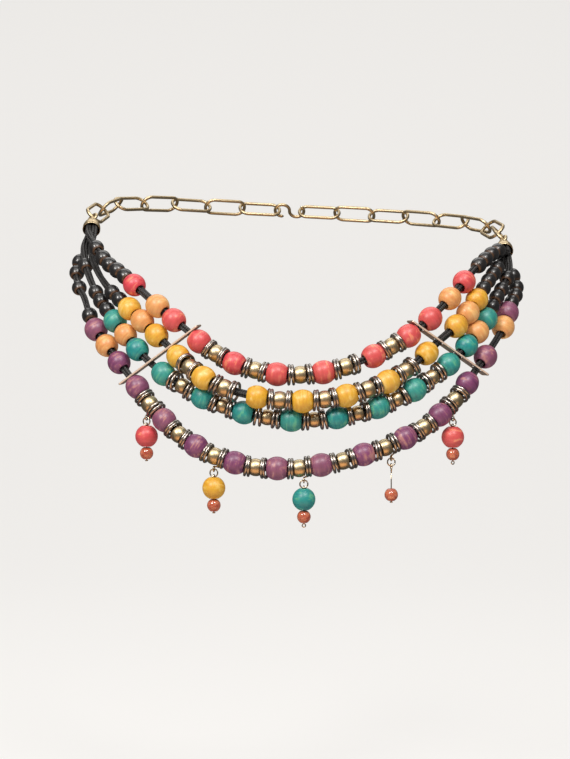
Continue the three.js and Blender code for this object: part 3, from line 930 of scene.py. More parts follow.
class Finishes:
    """All the belt's looks, each built once."""

    def __init__(self) -> None:
        """Builds the materials."""
        brass = AgedMetal(
            "antique_brass", (0.68, 0.55, 0.35), (0.54, 0.41, 0.24), (0.23, 0.15, 0.075), 0.4, 0.52
        )
        # The strip's finish paints a highlight along both long edges of the strip.
        strip = AgedMetal(
            "strip_brass", (0.66, 0.50, 0.39), (0.50, 0.36, 0.26), (0.28, 0.18, 0.12), 0.36, 0.5,
            patches=0.62, dents=0.00006, metal=0.8, edge_highlight_from=3.85,
        )
        rings = AgedMetal(
            "dark_rings", (0.50, 0.455, 0.42), (0.36, 0.31, 0.27), (0.11, 0.085, 0.066), 0.3, 0.4,
            patches=0.6, dents=0.00002,
        )
        wire = AgedMetal(
            "aged_wire", (0.70, 0.61, 0.47), (0.55, 0.44, 0.30), (0.20, 0.14, 0.08), 0.26, 0.42,
            patches=0.6, dents=0.00003,
        )
        self.wood = {dye: Look(DyedWood(dye).material(), dye.slot) for dye in Dye}
        self.brass = Look(brass.material(), "brass")
        self.strip = Look(strip.material(), "brass")
        self.rings = Look(rings.material(), "ring_steel")
        self.wire = Look(wire.material(), "wire")
        self.dark = Look(DarkGloss().material(), "dark_bead")
        self.cord = Look(WaxedBraid().material(), "cord")
        self.amber = Look(AmberGlass().material(), "amber")


Face = tuple[int, ...]


@dataclass
class Form:
    """A mesh under construction in millimetres, with each point's place in its own small piece."""

    points: list[Vector] = field(default_factory=list)
    local: list[Vector] = field(default_factory=list)
    faces: list[Face] = field(default_factory=list)

    def add(
        self, points: Iterable[Vector], faces: Iterable[Face], local: Iterable[Vector] | None = None
    ) -> None:
        """Adds points and faces.

        Args:
            points: The points.
            faces: Corner numbers of the faces, counted from the first of these points.
            local: Where the finish is read at each point; the points themselves if left out.
        """
        start = len(self.points)
        new = list(points)
        self.points += new
        self.local += list(local) if local is not None else new
        self.faces += [tuple(start + i for i in face) for face in faces]

    def mesh(self, name: str) -> bpy.types.Mesh:
        """The mesh with smooth faces and its attribute of local places."""
        mesh = bpy.data.meshes.new(name)
        mesh.from_pydata([tuple(p * MM) for p in self.points], [], self.faces)
        layer = mesh.attributes.new("local", "FLOAT_VECTOR", "POINT")
        layer.data.foreach_set("vector", [c for p in self.local for c in p])
        mesh.polygons.foreach_set("use_smooth", [True] * len(self.faces))
        mesh.update()
        return mesh


def lathe(outline: Sequence[tuple[float, float]], around: int) -> Form:
    """Turns a closed outline about the Z axis.

    Args:
        outline: Height and radius pairs, which run upwards on the outside.
        around: Number of sides.

    Returns:
        The form.
    """
    form = Form()
    count = len(outline)
    points = []
    for i in range(around):
        turn = 2 * math.pi * i / around
        points += [Vector((r * math.cos(turn), r * math.sin(turn), z)) for z, r in outline]
    faces = []
    for i in range(around):
        a = i * count
        b = (i + 1) % around * count
        faces += [(a + j, b + j, b + (j + 1) % count, a + (j + 1) % count) for j in range(count)]
    form.add(points, faces)
    return form


Section = Callable[[float, float], float]
WIRE_SIDES = 10
ANY_DIRECTION = Vector((0.31, 0.53, 0.79))


def tube(
    line: Sequence[Vector],
    radius: float | Section,
    sides: int,
    closed: bool = False,
    side_hint: Vector | None = None,
) -> Form:
    """Sweeps a round section along a line of points.

    Args:
        line: The middle line.
        radius: The section's radius, or a function of the share along the line and the angle round it.
        sides: Number of sides.
        closed: Whether the line meets its own start.
        side_hint: A direction that the section starts from; worked out if left out.

    Returns:
        The form, with flat ends if it is open.
    """
    form = Form()
    count = len(line)
    at = radius if callable(radius) else (lambda _share, _angle: radius)
    previous = side_hint or ANY_DIRECTION
    rings: list[list[Vector]] = []
    travelled = 0.0
    local = []
    for i, point in enumerate(line):
        ahead = line[(i + 1) % count] if closed or i < count - 1 else point
        behind = line[i - 1] if closed or i else point
        along = (ahead - behind).normalized()
        across = square_to(previous, along)
        previous = across
        up = along.cross(across)
        travelled += (point - line[i - 1]).length if i else 0
        ring = []
        for j in range(sides):
            angle = 2 * math.pi * j / sides
            reach = at(i / count, angle)
            offset = across * math.cos(angle) + up * math.sin(angle)
            ring.append(point + offset * reach)
            local.append(Vector((travelled, reach * math.cos(angle), reach * math.sin(angle))))
        rings.append(ring)
    faces = []
    for i in range(count if closed else count - 1):
        a = i * sides
        b = (i + 1) % count * sides
        faces += [(a + j, a + (j + 1) % sides, b + (j + 1) % sides, b + j) for j in range(sides)]
    if not closed:
        faces.append(tuple(reversed(range(sides))))
        faces.append(tuple((count - 1) * sides + j for j in range(sides)))
    form.add([p for ring in rings for p in ring], faces, local)
    return form


def joined(forms: Iterable[Form]) -> Form:
    """One form from several."""
    whole = Form()
    for form in forms:
        whole.add(form.points, form.faces, form.local)
    return whole


def placed(form: Form, origin: Vector, x: Vector, y: Vector, z: Vector) -> Form:
    """Moves a form so that its axes lie along three given directions at a point.

    Args:
        form: The form, whose local places stay as they are.
        origin: Where its origin goes.
        x: Direction of its X axis.
        y: Direction of its Y axis.
        z: Direction of its Z axis.

    Returns:
        The moved form.
    """
    turned = Matrix((x, y, z)).transposed()
    return Form([origin + turned @ p for p in form.points], list(form.local), list(form.faces))


def circle(radius: float, count: int, stretch: float = 0) -> list[Vector]:
    """A flat ring of points, stretched along X by half a straight on each side."""
    points = []
    for i in range(count):
        angle = 2 * math.pi * (i + 0.5) / count
        x = radius * math.cos(angle)
        points.append(Vector((x + math.copysign(stretch, x), radius * math.sin(angle), 0)))
    return points


def hoop(radius: float, wire: float | Section, count: int, sides: int = WIRE_SIDES) -> Form:
    """A flat ring of wire."""
    return tube(circle(radius, count), wire, sides, closed=True, side_hint=UP)


def linked(name: str, data: bpy.types.ID) -> bpy.types.Object:
    """A new object of the scene."""
    made = bpy.data.objects.new(name, data)
    bpy.context.scene.collection.objects.link(made)
    return made


def set_seeds(mesh: bpy.types.Mesh, seed: float, tone: float = 0.0) -> None:
    """Gives a whole mesh one finish seed and one tone."""
    for name, value in (("seed", seed), ("tone", tone)):
        layer = mesh.attributes.new(name, "FLOAT", "POINT")
        layer.data.foreach_set("value", [value] * len(mesh.vertices))


@dataclass(frozen=True)
class Piece:
    """A finished piece: its look, what it rides on and the nodes that it stands for."""

    name: str
    look: Look
    body: str = ROOT_BODY
    nodes: tuple[str, ...] = ()

    def enter(self, mesh: bpy.types.Mesh) -> None:
        """Puts a plain mesh, in place, into the scene as this piece."""
        if not mesh.materials:
            mesh.materials.append(self.look.material)
        piece = linked(self.name, mesh)
        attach(piece, self.body)
        if self.nodes:
            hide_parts(*self.nodes)
        LOG.info("%s: %d faces on %s", self.name, len(mesh.polygons), self.body)

    def enter_form(self, form: Form, seed: float) -> None:
        """Puts a single form into the scene as this piece, with one finish seed."""
        mesh = form.mesh(self.name)
        set_seeds(mesh, seed)
        self.enter(mesh)


class Nodes(Tree):
    """A Geometry Nodes tree under construction."""

    def __init__(self, name: str, inputs: Sequence[tuple[str, str]]) -> None:
        """Starts a tree with a mesh coming in.

        Args:
            name: The tree's name.
            inputs: Name and kind of each input after the mesh.
        """
        super().__init__(bpy.data.node_groups.new(name, "GeometryNodeTree"))
        interface = self.tree.interface
        for direction in ("INPUT", "OUTPUT"):
            interface.new_socket("Geometry", in_out=direction, socket_type="NodeSocketGeometry")
        self.keys: dict[str, str] = {}
        for label, kind in inputs:
            socket = interface.new_socket(label, in_out="INPUT", socket_type=f"NodeSocket{kind}")
            self.keys[label] = socket.identifier
        self.group_input = self.node("NodeGroupInput")

    def given(self, name: str) -> bpy.types.NodeSocket:
        """The named input inside the tree."""
        return self.group_input.outputs[name]

    def named(self, name: str, data_type: str = "FLOAT_VECTOR") -> bpy.types.NodeSocket:
        """Reads an attribute of the mesh."""
        node = self.node("GeometryNodeInputNamedAttribute", {"data_type": data_type}, {"Name": name})
        return self.result(node)

    def random(self, low: object, high: object, data_type: str = "FLOAT") -> bpy.types.NodeSocket:
        """A value for each point between two others, drawn with the tree's fixed seed."""
        values = {"Min": low, "Max": high, "Seed": self.given("Seed")}
        return self.result(self.node("FunctionNodeRandomValue", {"data_type": data_type}, values))

    def scaled(self, vector: object, factor: bpy.types.NodeSocket) -> bpy.types.NodeSocket:
        """A vector times a number."""
        values = {"Vector": vector, "Scale": factor}
        return self.node("ShaderNodeVectorMath", {"operation": "SCALE"}, values).outputs[0]

    def store(
        self,
        geometry: bpy.types.NodeSocket,
        name: str,
        value: bpy.types.NodeSocket,
        domain: str = "POINT",
        data_type: str = "FLOAT",
    ) -> bpy.types.NodeSocket:
        """Keeps a value as a named attribute of the geometry."""
        settings = {"data_type": data_type, "domain": domain}
        values = {"Geometry": geometry, "Name": name, "Value": value}
        return self.node("GeometryNodeStoreNamedAttribute", settings, values).outputs["Geometry"]

    def end(self, geometry: bpy.types.NodeSocket) -> None:
        """Closes the tree with real geometry and its material."""
        real = self.node("GeometryNodeRealizeInstances", None, {"Geometry": geometry})
        values = {"Geometry": real.outputs["Geometry"], "Material": self.given("Finish")}
        dressed = self.node("GeometryNodeSetMaterial", None, values)
        self.node("NodeGroupOutput", None, {"Geometry": dressed.outputs["Geometry"]})


def applied(mesh: bpy.types.Mesh, nodes: Nodes, values: dict[str, object]) -> bpy.types.Mesh:
    """Runs a tree on a mesh and gives the plain result.

    Args:
        mesh: The mesh that the tree starts from.
        nodes: The tree.
        values: Values of its named inputs.

    Returns:
        The plain mesh, with no modifier.
    """
    carrier = linked(f"{mesh.name}_carrier", mesh)
    modifier = carrier.modifiers.new("nodes", "NODES")
    modifier.node_group = nodes.tree
    for name, value in values.items():
        modifier[nodes.keys[name]] = value
    graph = bpy.context.evaluated_depsgraph_get()
    graph.update()
    evaluated = carrier.evaluated_get(graph)
    plain = bpy.data.meshes.new_from_object(evaluated, preserve_all_data_layers=True, depsgraph=graph)
    carrier.modifiers.remove(modifier)
    bpy.data.objects.remove(carrier)
    return plain


@dataclass
class Seat:
    """Where one repeated piece sits.

    It has its spot, its lean in degrees about two directions, its stretch along the path, and how much of
    the row's hang it takes.
    """

    spot: Spot
    lean: tuple[float, float] = (0, 0)
    stretch: float = 1.0
    hang: float = 1.0


@dataclass(frozen=True)
class Play:
    """How loosely a row sits: by what share sizes differ, by what degrees leans do, and its hang."""

    size: float = 0.0
    lean: float = 0.0
    hang: float = 0.0


class Threader:
    """Threads copies of one form onto a path, through a Geometry Nodes tree made once."""

    INPUTS = (
        ("Form", "Object"), ("Size jitter", "Float"), ("Lean jitter", "Float"), ("Hang", "Float"),
        ("Seed", "Int"), ("Finish", "Material"),
    )
    SEED_SPAN = 40.0

    def __init__(self) -> None:
        """Builds the tree."""
        nodes = Nodes("thread_on_path", self.INPUTS)
        values = {
            "Geometry": nodes.given("Geometry"),
            "Offset": nodes.scaled(nodes.named("hang"), nodes.given("Hang")),
        }
        lowered = nodes.node("GeometryNodeSetPosition", None, values)
        align = "FunctionNodeAlignRotationToVector"
        along = nodes.node(align, {"axis": "Z"}, {"Vector": nodes.named("along")})
        values = {"Rotation": along.outputs[0], "Vector": nodes.named("out")}
        faced = nodes.node(align, {"axis": "X", "pivot_axis": "Z"}, values)
        wobble = nodes.random((-1, -1, -1), (1, 1, 1), "FLOAT_VECTOR")
        values = {0: nodes.named("lean"), 1: nodes.scaled(wobble, nodes.given("Lean jitter"))}
        lean = nodes.node("ShaderNodeVectorMath", {"operation": "ADD"}, values)
        turn = nodes.node("FunctionNodeEulerToRotation", None, {"Euler": lean.outputs[0]})
        values = {"Rotation": faced.outputs[0], "Rotate By": turn.outputs[0]}
        leaning = nodes.node("FunctionNodeRotateRotation", {"rotation_space": "LOCAL"}, values)
        form = nodes.node("GeometryNodeObjectInfo", None, {"Object": nodes.given("Form")})
        values = {0: nodes.random(-1.0, 1.0), 1: nodes.given("Size jitter"), 2: 1.0}
        grown = nodes.node("ShaderNodeMath", {"operation": "MULTIPLY_ADD"}, values)
        values = {
            "Points": lowered.outputs["Geometry"],
            "Instance": form.outputs["Geometry"],
            "Rotation": leaning.outputs[0],
            "Scale": nodes.scaled(nodes.named("stretch"), grown.outputs[0]),
        }
        copies = nodes.node("GeometryNodeInstanceOnPoints", None, values)
        seeds = nodes.random(0.0, self.SEED_SPAN)
        marked = nodes.store(copies.outputs["Instances"], "seed", seeds, "INSTANCE")
        nodes.end(nodes.store(marked, "tone", nodes.random(0.0, 1.0), "INSTANCE"))
        self.nodes = nodes

    def thread(self, piece: Piece, form: Form, seats: Sequence[Seat], play: Play, seed: int) -> None:
        """Sets copies of a form on seats and enters them as one plain piece.

        Args:
            piece: The piece that they make up.
            form: What is repeated, with its bore along Z.
            seats: Where the copies sit.
            play: How loosely they sit.
            seed: Seed of the differences.
        """
        points = bpy.data.meshes.new(piece.name)
        points.from_pydata([tuple(seat.spot.point * MM) for seat in seats], [], [])
        columns = {
            "along": [seat.spot.along for seat in seats],
            "out": [seat.spot.out for seat in seats],
            "hang": [seat.spot.hang * seat.hang for seat in seats],
            "lean": [Vector((*map(math.radians, seat.lean), 0)) for seat in seats],
            "stretch": [Vector((1, 1, seat.stretch)) for seat in seats],
        }
        for key, vectors in columns.items():
            layer = points.attributes.new(key, "FLOAT_VECTOR", "POINT")
            layer.data.foreach_set("vector", [c for vector in vectors for c in vector])
        pattern = linked(f"{piece.name}_form", form.mesh(f"{piece.name}_form"))
        values = {
            "Form": pattern,
            "Size jitter": play.size,
            "Lean jitter": math.radians(play.lean),
            "Hang": play.hang * MM,
            "Seed": seed,
            "Finish": piece.look.material,
        }
        result = applied(points, self.nodes, values)
        bpy.data.objects.remove(pattern)
        piece.enter(result)


class CordMaker:
    """Lays braided cords along lines, through a Geometry Nodes tree made once."""

    INPUTS = (("Cord radius", "Float"), ("Sides", "Int"), ("Finish", "Material"))

    def __init__(self) -> None:
        """Builds the tree."""
        nodes = Nodes("cord_on_lines", self.INPUTS)
        lines = nodes.node("GeometryNodeMeshToCurve", None, {"Mesh": nodes.given("Geometry")})
        values = {"Curve": lines.outputs["Curve"], "Radius": nodes.named("thickness", "FLOAT")}
        thick = nodes.node("GeometryNodeSetCurveRadius", None, values)
        length = nodes.node("GeometryNodeSplineParameter").outputs["Length"]
        measured = nodes.store(thick.outputs["Curve"], "run", length)
        values = {"Resolution": nodes.given("Sides"), "Radius": 1.0}
        profile = nodes.node("GeometryNodeCurvePrimitiveCircle", None, values)
        position = nodes.node("GeometryNodeInputPosition").outputs[0]
        told = nodes.store(profile.outputs["Curve"], "round", position, data_type="FLOAT_VECTOR")
        values = {"Geometry": told, "Scale": nodes.scaled((1, 1, 1), nodes.given("Cord radius"))}
        sized = nodes.node("GeometryNodeTransform", None, values)
        values = {"Curve": measured, "Profile Curve": sized.outputs["Geometry"], "Fill Caps": True}
        swept = nodes.node("GeometryNodeCurveToMesh", None, values)
        smooth = nodes.node("GeometryNodeSetShadeSmooth", None, {"Geometry": swept.outputs["Mesh"]})
        nodes.end(smooth.outputs["Geometry"])
        self.nodes = nodes

    def lay(self, piece: Piece, lines: Sequence[Sequence[tuple[Vector, float]]], radius: float) -> None:
        """Lays cords and enters them as one plain piece.

        Args:
            piece: The piece that they make up.
            lines: For each cord, its points and their shares of the full thickness.
            radius: Full radius of one cord.
        """
        edges = []
        start = 0
        for line in lines:
            edges += [(start + i, start + i + 1) for i in range(len(line) - 1)]
            start += len(line)
        mesh = bpy.data.meshes.new(piece.name)
        mesh.from_pydata([tuple(point * MM) for line in lines for point, _ in line], edges, [])
        layer = mesh.attributes.new("thickness", "FLOAT", "POINT")
        layer.data.foreach_set("value", [share for line in lines for _, share in line])
        values = {"Cord radius": radius * MM, "Sides": WIRE_SIDES, "Finish": piece.look.material}
        result = applied(mesh, self.nodes, values)
        set_seeds(result, CORD_SEED)
        piece.enter(result)


# Seeds of the finishes and of the differences between copies.
CORD_SEED = 1.0
STRAND_SEED = 11
STRAND_SEED_STEP = 17
STRIP_SEED = 3.0
CAP_SEED = 7.0
CHAIN_SEED = 71
HOOK_SEED = 5.0
HANGER_SEED = 9.0
JUMP_RING_SEED = 20.0
PIN_SEED = 30.0
DROP_BEAD_SEED = 40

# Sizes of the metal pieces.
STRIP_WIDTH = 8.0
STRIP_OVERHANG = 6.4
HOLE_RADIUS = 3.25
CAP_LENGTH = 10.5
CAP_MOUTH = 5.05
CAP_SOCKET = 4.6
SOCKET_DEPTH = 3.6
CAP_TIP = 2.0
CAP_LOOP_RADIUS = 2.8
CAP_LOOP_WIRE = 0.9
LINKS = 15
LINKS_LEFT_OF_HOOK = 7
LINK_WIRE = 1.0
LINK_RADIUS = 5.2
LINK_PLAY = 0.8
LINK_TWIST = 45
HOOK_RADIUS = 4.6
HOOK_CLOSED_TURN = 285
HOOK_OPEN_TURN = 240
HANGER_REACH = 6.45
HANGER_RADIUS = 1.24
HANGER_WIRE = 0.36
HANGER_NECK = 4.6
JUMP_RING_RADIUS = 2.0
EYE_RADIUS = 1.15
PIN_WIRE = 0.3
TAIL_LOOP_RADIUS = 0.85
BARE_WIRE = 11.5
BARE_NECK = 3.8
EYE_TO_WOOD = 0.2
TAIL_KNOB = ((-0.7, 0.02), (-0.7, 0.5), (-0.5, 0.78), (-0.3, 0.85), (-0.12, 0.78), (0, 0.5), (0, 0.02))


@dataclass(frozen=True)
class CapFrame:
    """Where a cap stands: its mouth, its axis, and the directions away from the figure and across."""

    mouth: Vector
    axis: Vector
    out: Vector
    across: Vector

    @classmethod
    def of(cls, side: Side) -> "CapFrame":
        """Works out the frame of one side's cap."""
        spot = CAP_PLACES[side]
        mouth = place(*spot.mouth)
        axis = (place(*spot.aim) - mouth).normalized()
        out = square_to(outward(mouth), axis)
        return cls(mouth, axis, out, axis.cross(out) * spot.hand)

    def bundle(self, corner: tuple[int, int], distance: float) -> Vector:
        """Where one strand lies in the cap, at a distance along its axis."""
        sideways = self.out * corner[0] + self.across * corner[1]
        return self.mouth + self.axis * distance + sideways * BUNDLE_OFFSET


@dataclass(frozen=True)
class StripFrame:
    """Where a strip stands: its middle, its directions and its four holes."""

    middle: Vector
    length: float
    long: Vector
    wide: Vector
    holes: tuple[Vector, ...]

    @classmethod
    def of(cls, side: Side) -> "StripFrame":
        """Works out the frame of one side's strip."""
        spot = STRIP_PLACES[side]
        red, purple = place(*spot.red), place(*spot.purple)
        long = (purple - red).normalized()
        middle = red.lerp(purple, 0.5)
        wide = Matrix.Rotation(math.radians(spot.lean), 3, long) @ square_to(outward(middle), long)
        last = len(STRANDS) - 1
        holes = tuple(red.lerp(purple, i / last) for i in range(last + 1))
        return cls(middle, (purple - red).length, long, wide, holes)


@dataclass
class StrandLine:
    """A strand's path, and the places of everything threaded on it."""

    strand: Strand
    index: int
    path: Path = field(init=False)
    start: float = field(init=False)
    end: float = field(init=False)
    woods: list[float] = field(init=False, default_factory=list)
    brasses: list[float] = field(init=False, default_factory=list)
    rings: list[list[float]] = field(init=False, default_factory=list)

    def __post_init__(self) -> None:
        """Lays the path through caps, sides, strips and front, and works out the places."""
        strand = self.strand
        left, right = (CapFrame.of(side) for side in Side)
        holes = [StripFrame.of(side).holes[self.index] for side in Side]
        reaches = (SOCKET_DEPTH - SEAM, -CORD_LEAD)
        self.path = Path(
            [
                *(left.bundle(strand.corner, reach) for reach in reaches),
                *(place(*row) for row in strand.left),
                holes[0],
                *(place(*row) for row in strand.front),
                holes[1],
                *(place(*row) for row in strand.right),
                *(right.bundle(strand.corner, reach) for reach in reversed(reaches)),
            ]
        )
        self.start, self.end = (self.path.nearest(hole) for hole in holes)
        self._place_front()

    def _place_front(self) -> None:
        """Works out the places of the front's beads and rings."""
        strand = self.strand
        wood_length = BEAD_SHAPES["front_wood"].length
        middle = self.start + strand.first_wood
        self.woods.append(middle)
        for i, pitch in enumerate(strand.pitches):
            bare = strand.bare_after.get(i, 0)
            space = (pitch - wood_length - strand.brass.length - bare) / 2
            before = middle + wood_length / 2
            after = before + space + strand.brass.length
            self.rings.append([edge + share * space for edge in (before, after) for share in RING_PLACES])
            self.brasses.append(before + space + strand.brass.length / 2)
            middle += pitch
            self.woods.append(middle)

    def side_places(self, side: Side, distances: Sequence[float]) -> list[float]:
        """Places of side beads, whose distances count away from their strip."""
        if side is Side.LEFT:
            return [self.start - distance for distance in distances]
        return [self.end + distance for distance in distances]

    def seats(self, places: Iterable[float]) -> list[Seat]:
        """Upright seats at places along the path."""
        return [Seat(self.path.spot(distance)) for distance in places]


PLAYS = {
    "front": Play(0.02, 2.5, 0.35),
    "held_front": Play(0.008, 2.5, 0.05),
    "side": Play(0.025, 2, 0.3),
    "brass": Play(0.02, 3, 0.3),
    "dark": Play(0.03, 4, 0.15),
    "rings": Play(0.012, 1.5, 0.3),
    "held_rings": Play(0.003, 1.5, 0.3),
    "twisted": Play(0.0, 1.5, 0.3),
}


@dataclass(frozen=True)
class RingLean:
    """How rings lean about one direction, in degrees: in a wave from pair to pair, and off their mates."""

    wave: float
    pace: float
    apart: float

    def at(self, pair: int, away: int, index: int) -> float:
        """The lean of one ring."""
        return self.wave * math.sin(pair * self.pace + index) + self.apart * away


@dataclass
class StrandBeads:
    """Everything that is threaded on one strand, and the strand itself."""

    line: StrandLine
    finishes: Finishes
    threader: Threader
    cords: CordMaker
    held_rings: frozenset[tuple[int, int]] = frozenset()
    ring_radius: float = 4.7
    ring_wire: float = 0.73
    ring_spread: float = 0.14
    ring_leans: tuple[RingLean, RingLean] = (RingLean(6, 1.7, 2), RingLean(7, 2.4, 3))
    held_hang: float = -0.7
    rope_core: float = 0.86
    rope_ridge: float = 0.2
    rope_turns: int = 12
    cord_count: int = 4
    cord_share: float = 0.415
    cord_step: float = 1.6
    cord_twist: float = 0.8

    def build(self) -> None:
        """Builds and enters the strand's pieces."""
        line = self.line
        looks = self.finishes
        dye = line.strand.dye
        held = "held_" if self.held_rings else ""
        side = BEAD_SHAPES["side_wood"]
        dyed, natural, dark = self._side_places()
        ends = ("front", "left_wood", "right_wood")
        rows = (
            ("beads", BEAD_SHAPES["front_wood"], line.woods, looks.wood[dye], f"{held}front", 0, ends),
            ("side", side, dyed, looks.wood[dye], "side", 1, ()),
            ("natural", side, natural, looks.wood[Dye.NATURAL], "side", 1, ()),
            ("brass", line.strand.brass, line.brasses, looks.brass, "brass", 2, ()),
            ("dark", BEAD_SHAPES["dark"], dark, looks.dark, "dark", 3, ("left_dark", "right_dark")),
        )
        for label, shape, places, look, play, step, nodes in rows:
            self._thread(label, shape.form(), line.seats(places), look, play, step, nodes)
        self._build_rings(f"{held}rings")
        self._build_cord()

    def _thread(
        self,
        label: str,
        form: Form,
        seats: Sequence[Seat],
        look: Look,
        play: str,
        step: int,
        nodes: Sequence[str] = (),
    ) -> None:
        """Threads one kind of bead or ring.

        Args:
            label: The piece's label after the strand's name.
            form: The bead or ring.
            seats: Where they sit.
            look: Their look.
            play: The name of their play.
            step: How far their seed lies after the strand's first.
            nodes: Labels of the nodes that they stand for.
        """
        name = self.line.strand.name
        piece = Piece(f"{name}_{label}", look, nodes=tuple(f"{name}_{node}" for node in nodes))
        seed = STRAND_SEED + STRAND_SEED_STEP * self.line.index + step
        self.threader.thread(piece, form, seats, PLAYS[play], seed)

    def _side_places(self) -> tuple[list[float], list[float], list[float]]:
        """Places of the sides' dyed, natural and dark beads; the middle one of three woods is natural."""
        dyed, natural, dark = [], [], []
        strand = self.line.strand
        woods = {Side.LEFT: strand.left_wood, Side.RIGHT: strand.right_wood}
        darks = {Side.LEFT: strand.left_dark, Side.RIGHT: strand.right_dark}
        for side in Side:
            first, middle, last = self.line.side_places(side, woods[side])
            dyed += [first, last]
            natural.append(middle)
            dark += self.line.side_places(side, darks[side])
        return dyed, natural, dark

    def _build_rings(self, play: str) -> None:
        """Builds the plain rings, which hang off the cord in leaning pairs, and the twisted ones."""
        plain, twisted = [], []
        for gap, places in enumerate(self.line.rings):
            for number, distance in enumerate(places):
                kind = twisted if (gap, number) in self.line.strand.twisted else plain
                kind.append(self._ring_seat(gap, number, distance))
        steel = self.finishes.rings
        self._thread("rings", hoop(self.ring_radius, self.ring_wire, 34), plain, steel, play, 4)
        if twisted:
            self._thread("twisted", hoop(self.ring_radius, self._rope, 84), twisted, steel, "twisted", 5)

    def _ring_seat(self, gap: int, number: int, distance: float) -> Seat:
        """Where one ring sits; a ring that holds a hanger and its mate stand straight and a little high.

        Args:
            gap: Number of the gap between beads.
            number: The ring's number in the gap.
            distance: Its distance along the path.

        Returns:
            The seat.
        """
        away = 1 if number % 2 else -1
        held = (gap, number) in self.held_rings
        mate_held = (gap, number ^ 1) in self.held_rings
        spot = self.line.path.spot(distance + (0 if held else self.ring_spread * away))
        if held or mate_held:
            return Seat(spot, hang=self.held_hang)
        pair = gap * 2 + number // 2
        return Seat(spot, tuple(lean.at(pair, away, self.line.index) for lean in self.ring_leans))

    def _rope(self, share: float, angle: float) -> float:
        """Section of a ring twisted from two wires."""
        ridge = abs(math.cos(angle + 2 * math.pi * share * self.rope_turns))
        return self.ring_wire * (self.rope_core + self.rope_ridge * ridge)

    def _build_cord(self) -> None:
        """Builds the four waxed cords that run side by side through everything."""
        path = self.line.path
        steps = round(path.length / self.cord_step)
        lines = []
        for number in range(self.cord_count):
            line = []
            for i in range(steps + 1):
                distance = path.length * i / steps
                end = min(distance, path.length - distance) / CORD_TAPER
                share = mix(CORD_END_RADIUS / CORD_RADIUS, 1, min(end, 1))
                turn = math.radians(360 * (number + 0.5) / self.cord_count + self.cord_twist * distance)
                reach = CORD_RADIUS * (1 - self.cord_share) * share
                point = path.spot(distance).shifted(reach * math.cos(turn), reach * math.sin(turn))
                line.append((point, share))
            lines.append(line)
        piece = Piece(f"{self.line.strand.name}_cord", self.finishes.cord)
        self.cords.lay(piece, lines, CORD_RADIUS * self.cord_share)


@dataclass
class SpacerStrip:
    """A thin brass strip on its edge, with a rolled hole for each strand."""

    side: Side
    finishes: Finishes
    corner: float = 0.8
    corner_steps: int = 5
    rim: float = 0.22

    def build(self) -> None:
        """Builds and enters the strip."""
        name = self.side.value
        frame = StripFrame.of(self.side)
        outline = bpy.data.curves.new(f"{name}_outline", "CURVE")
        outline.dimensions = "2D"
        outline.fill_mode = "BOTH"
        outline.extrude = (STRIP_THICKNESS / 2 - self.rim) * MM
        outline.bevel_depth = self.rim * MM
        outline.bevel_resolution = 2
        half = frame.length / 2 + STRIP_OVERHANG - self.rim
        self._add_loop(outline, self._rounded(half, STRIP_WIDTH / 2 - self.rim))
        for hole in frame.holes:
            middle = Vector(((hole - frame.middle).dot(frame.long), 0, 0))
            self._add_loop(outline, [p + middle for p in circle(HOLE_RADIUS + self.rim, 36)])
        carrier = linked(outline.name, outline)
        evaluated = carrier.evaluated_get(bpy.context.evaluated_depsgraph_get())
        flat = bpy.data.meshes.new_from_object(evaluated)
        bpy.data.objects.remove(carrier)
        form = Form()
        faces = [tuple(face.vertices) for face in flat.polygons]
        form.add([vertex.co / MM for vertex in flat.vertices], faces)
        form = placed(form, frame.middle, frame.long, frame.wide, frame.long.cross(frame.wide))
        mesh = form.mesh(f"{name}_plate")
        mesh.shade_flat()
        set_seeds(mesh, STRIP_SEED + len(name))
        Piece(f"{name}_plate", self.finishes.strip, nodes=(f"{name}_strip",)).enter(mesh)

    def _rounded(self, half: float, wide: float) -> list[Vector]:
        """A rectangle with rounded corners."""
        points = []
        for number, (x, y) in enumerate(((1, 1), (-1, 1), (-1, -1), (1, -1))):
            centre = Vector((x * (half - self.corner), y * (wide - self.corner), 0))
            for i in range(self.corner_steps + 1):
                angle = math.radians(90 * (number + i / self.corner_steps))
                points.append(centre + Vector((math.cos(angle), math.sin(angle), 0)) * self.corner)
        return points

    @staticmethod
    def _add_loop(outline: bpy.types.Curve, points: Sequence[Vector]) -> None:
        """Adds a closed loop of points to a flat outline."""
        loop = outline.splines.new("POLY")
        loop.points.add(len(points) - 1)
        for target, point in zip(loop.points, points):
            target.co = (*(point * MM), 1)
        loop.use_cyclic_u = True


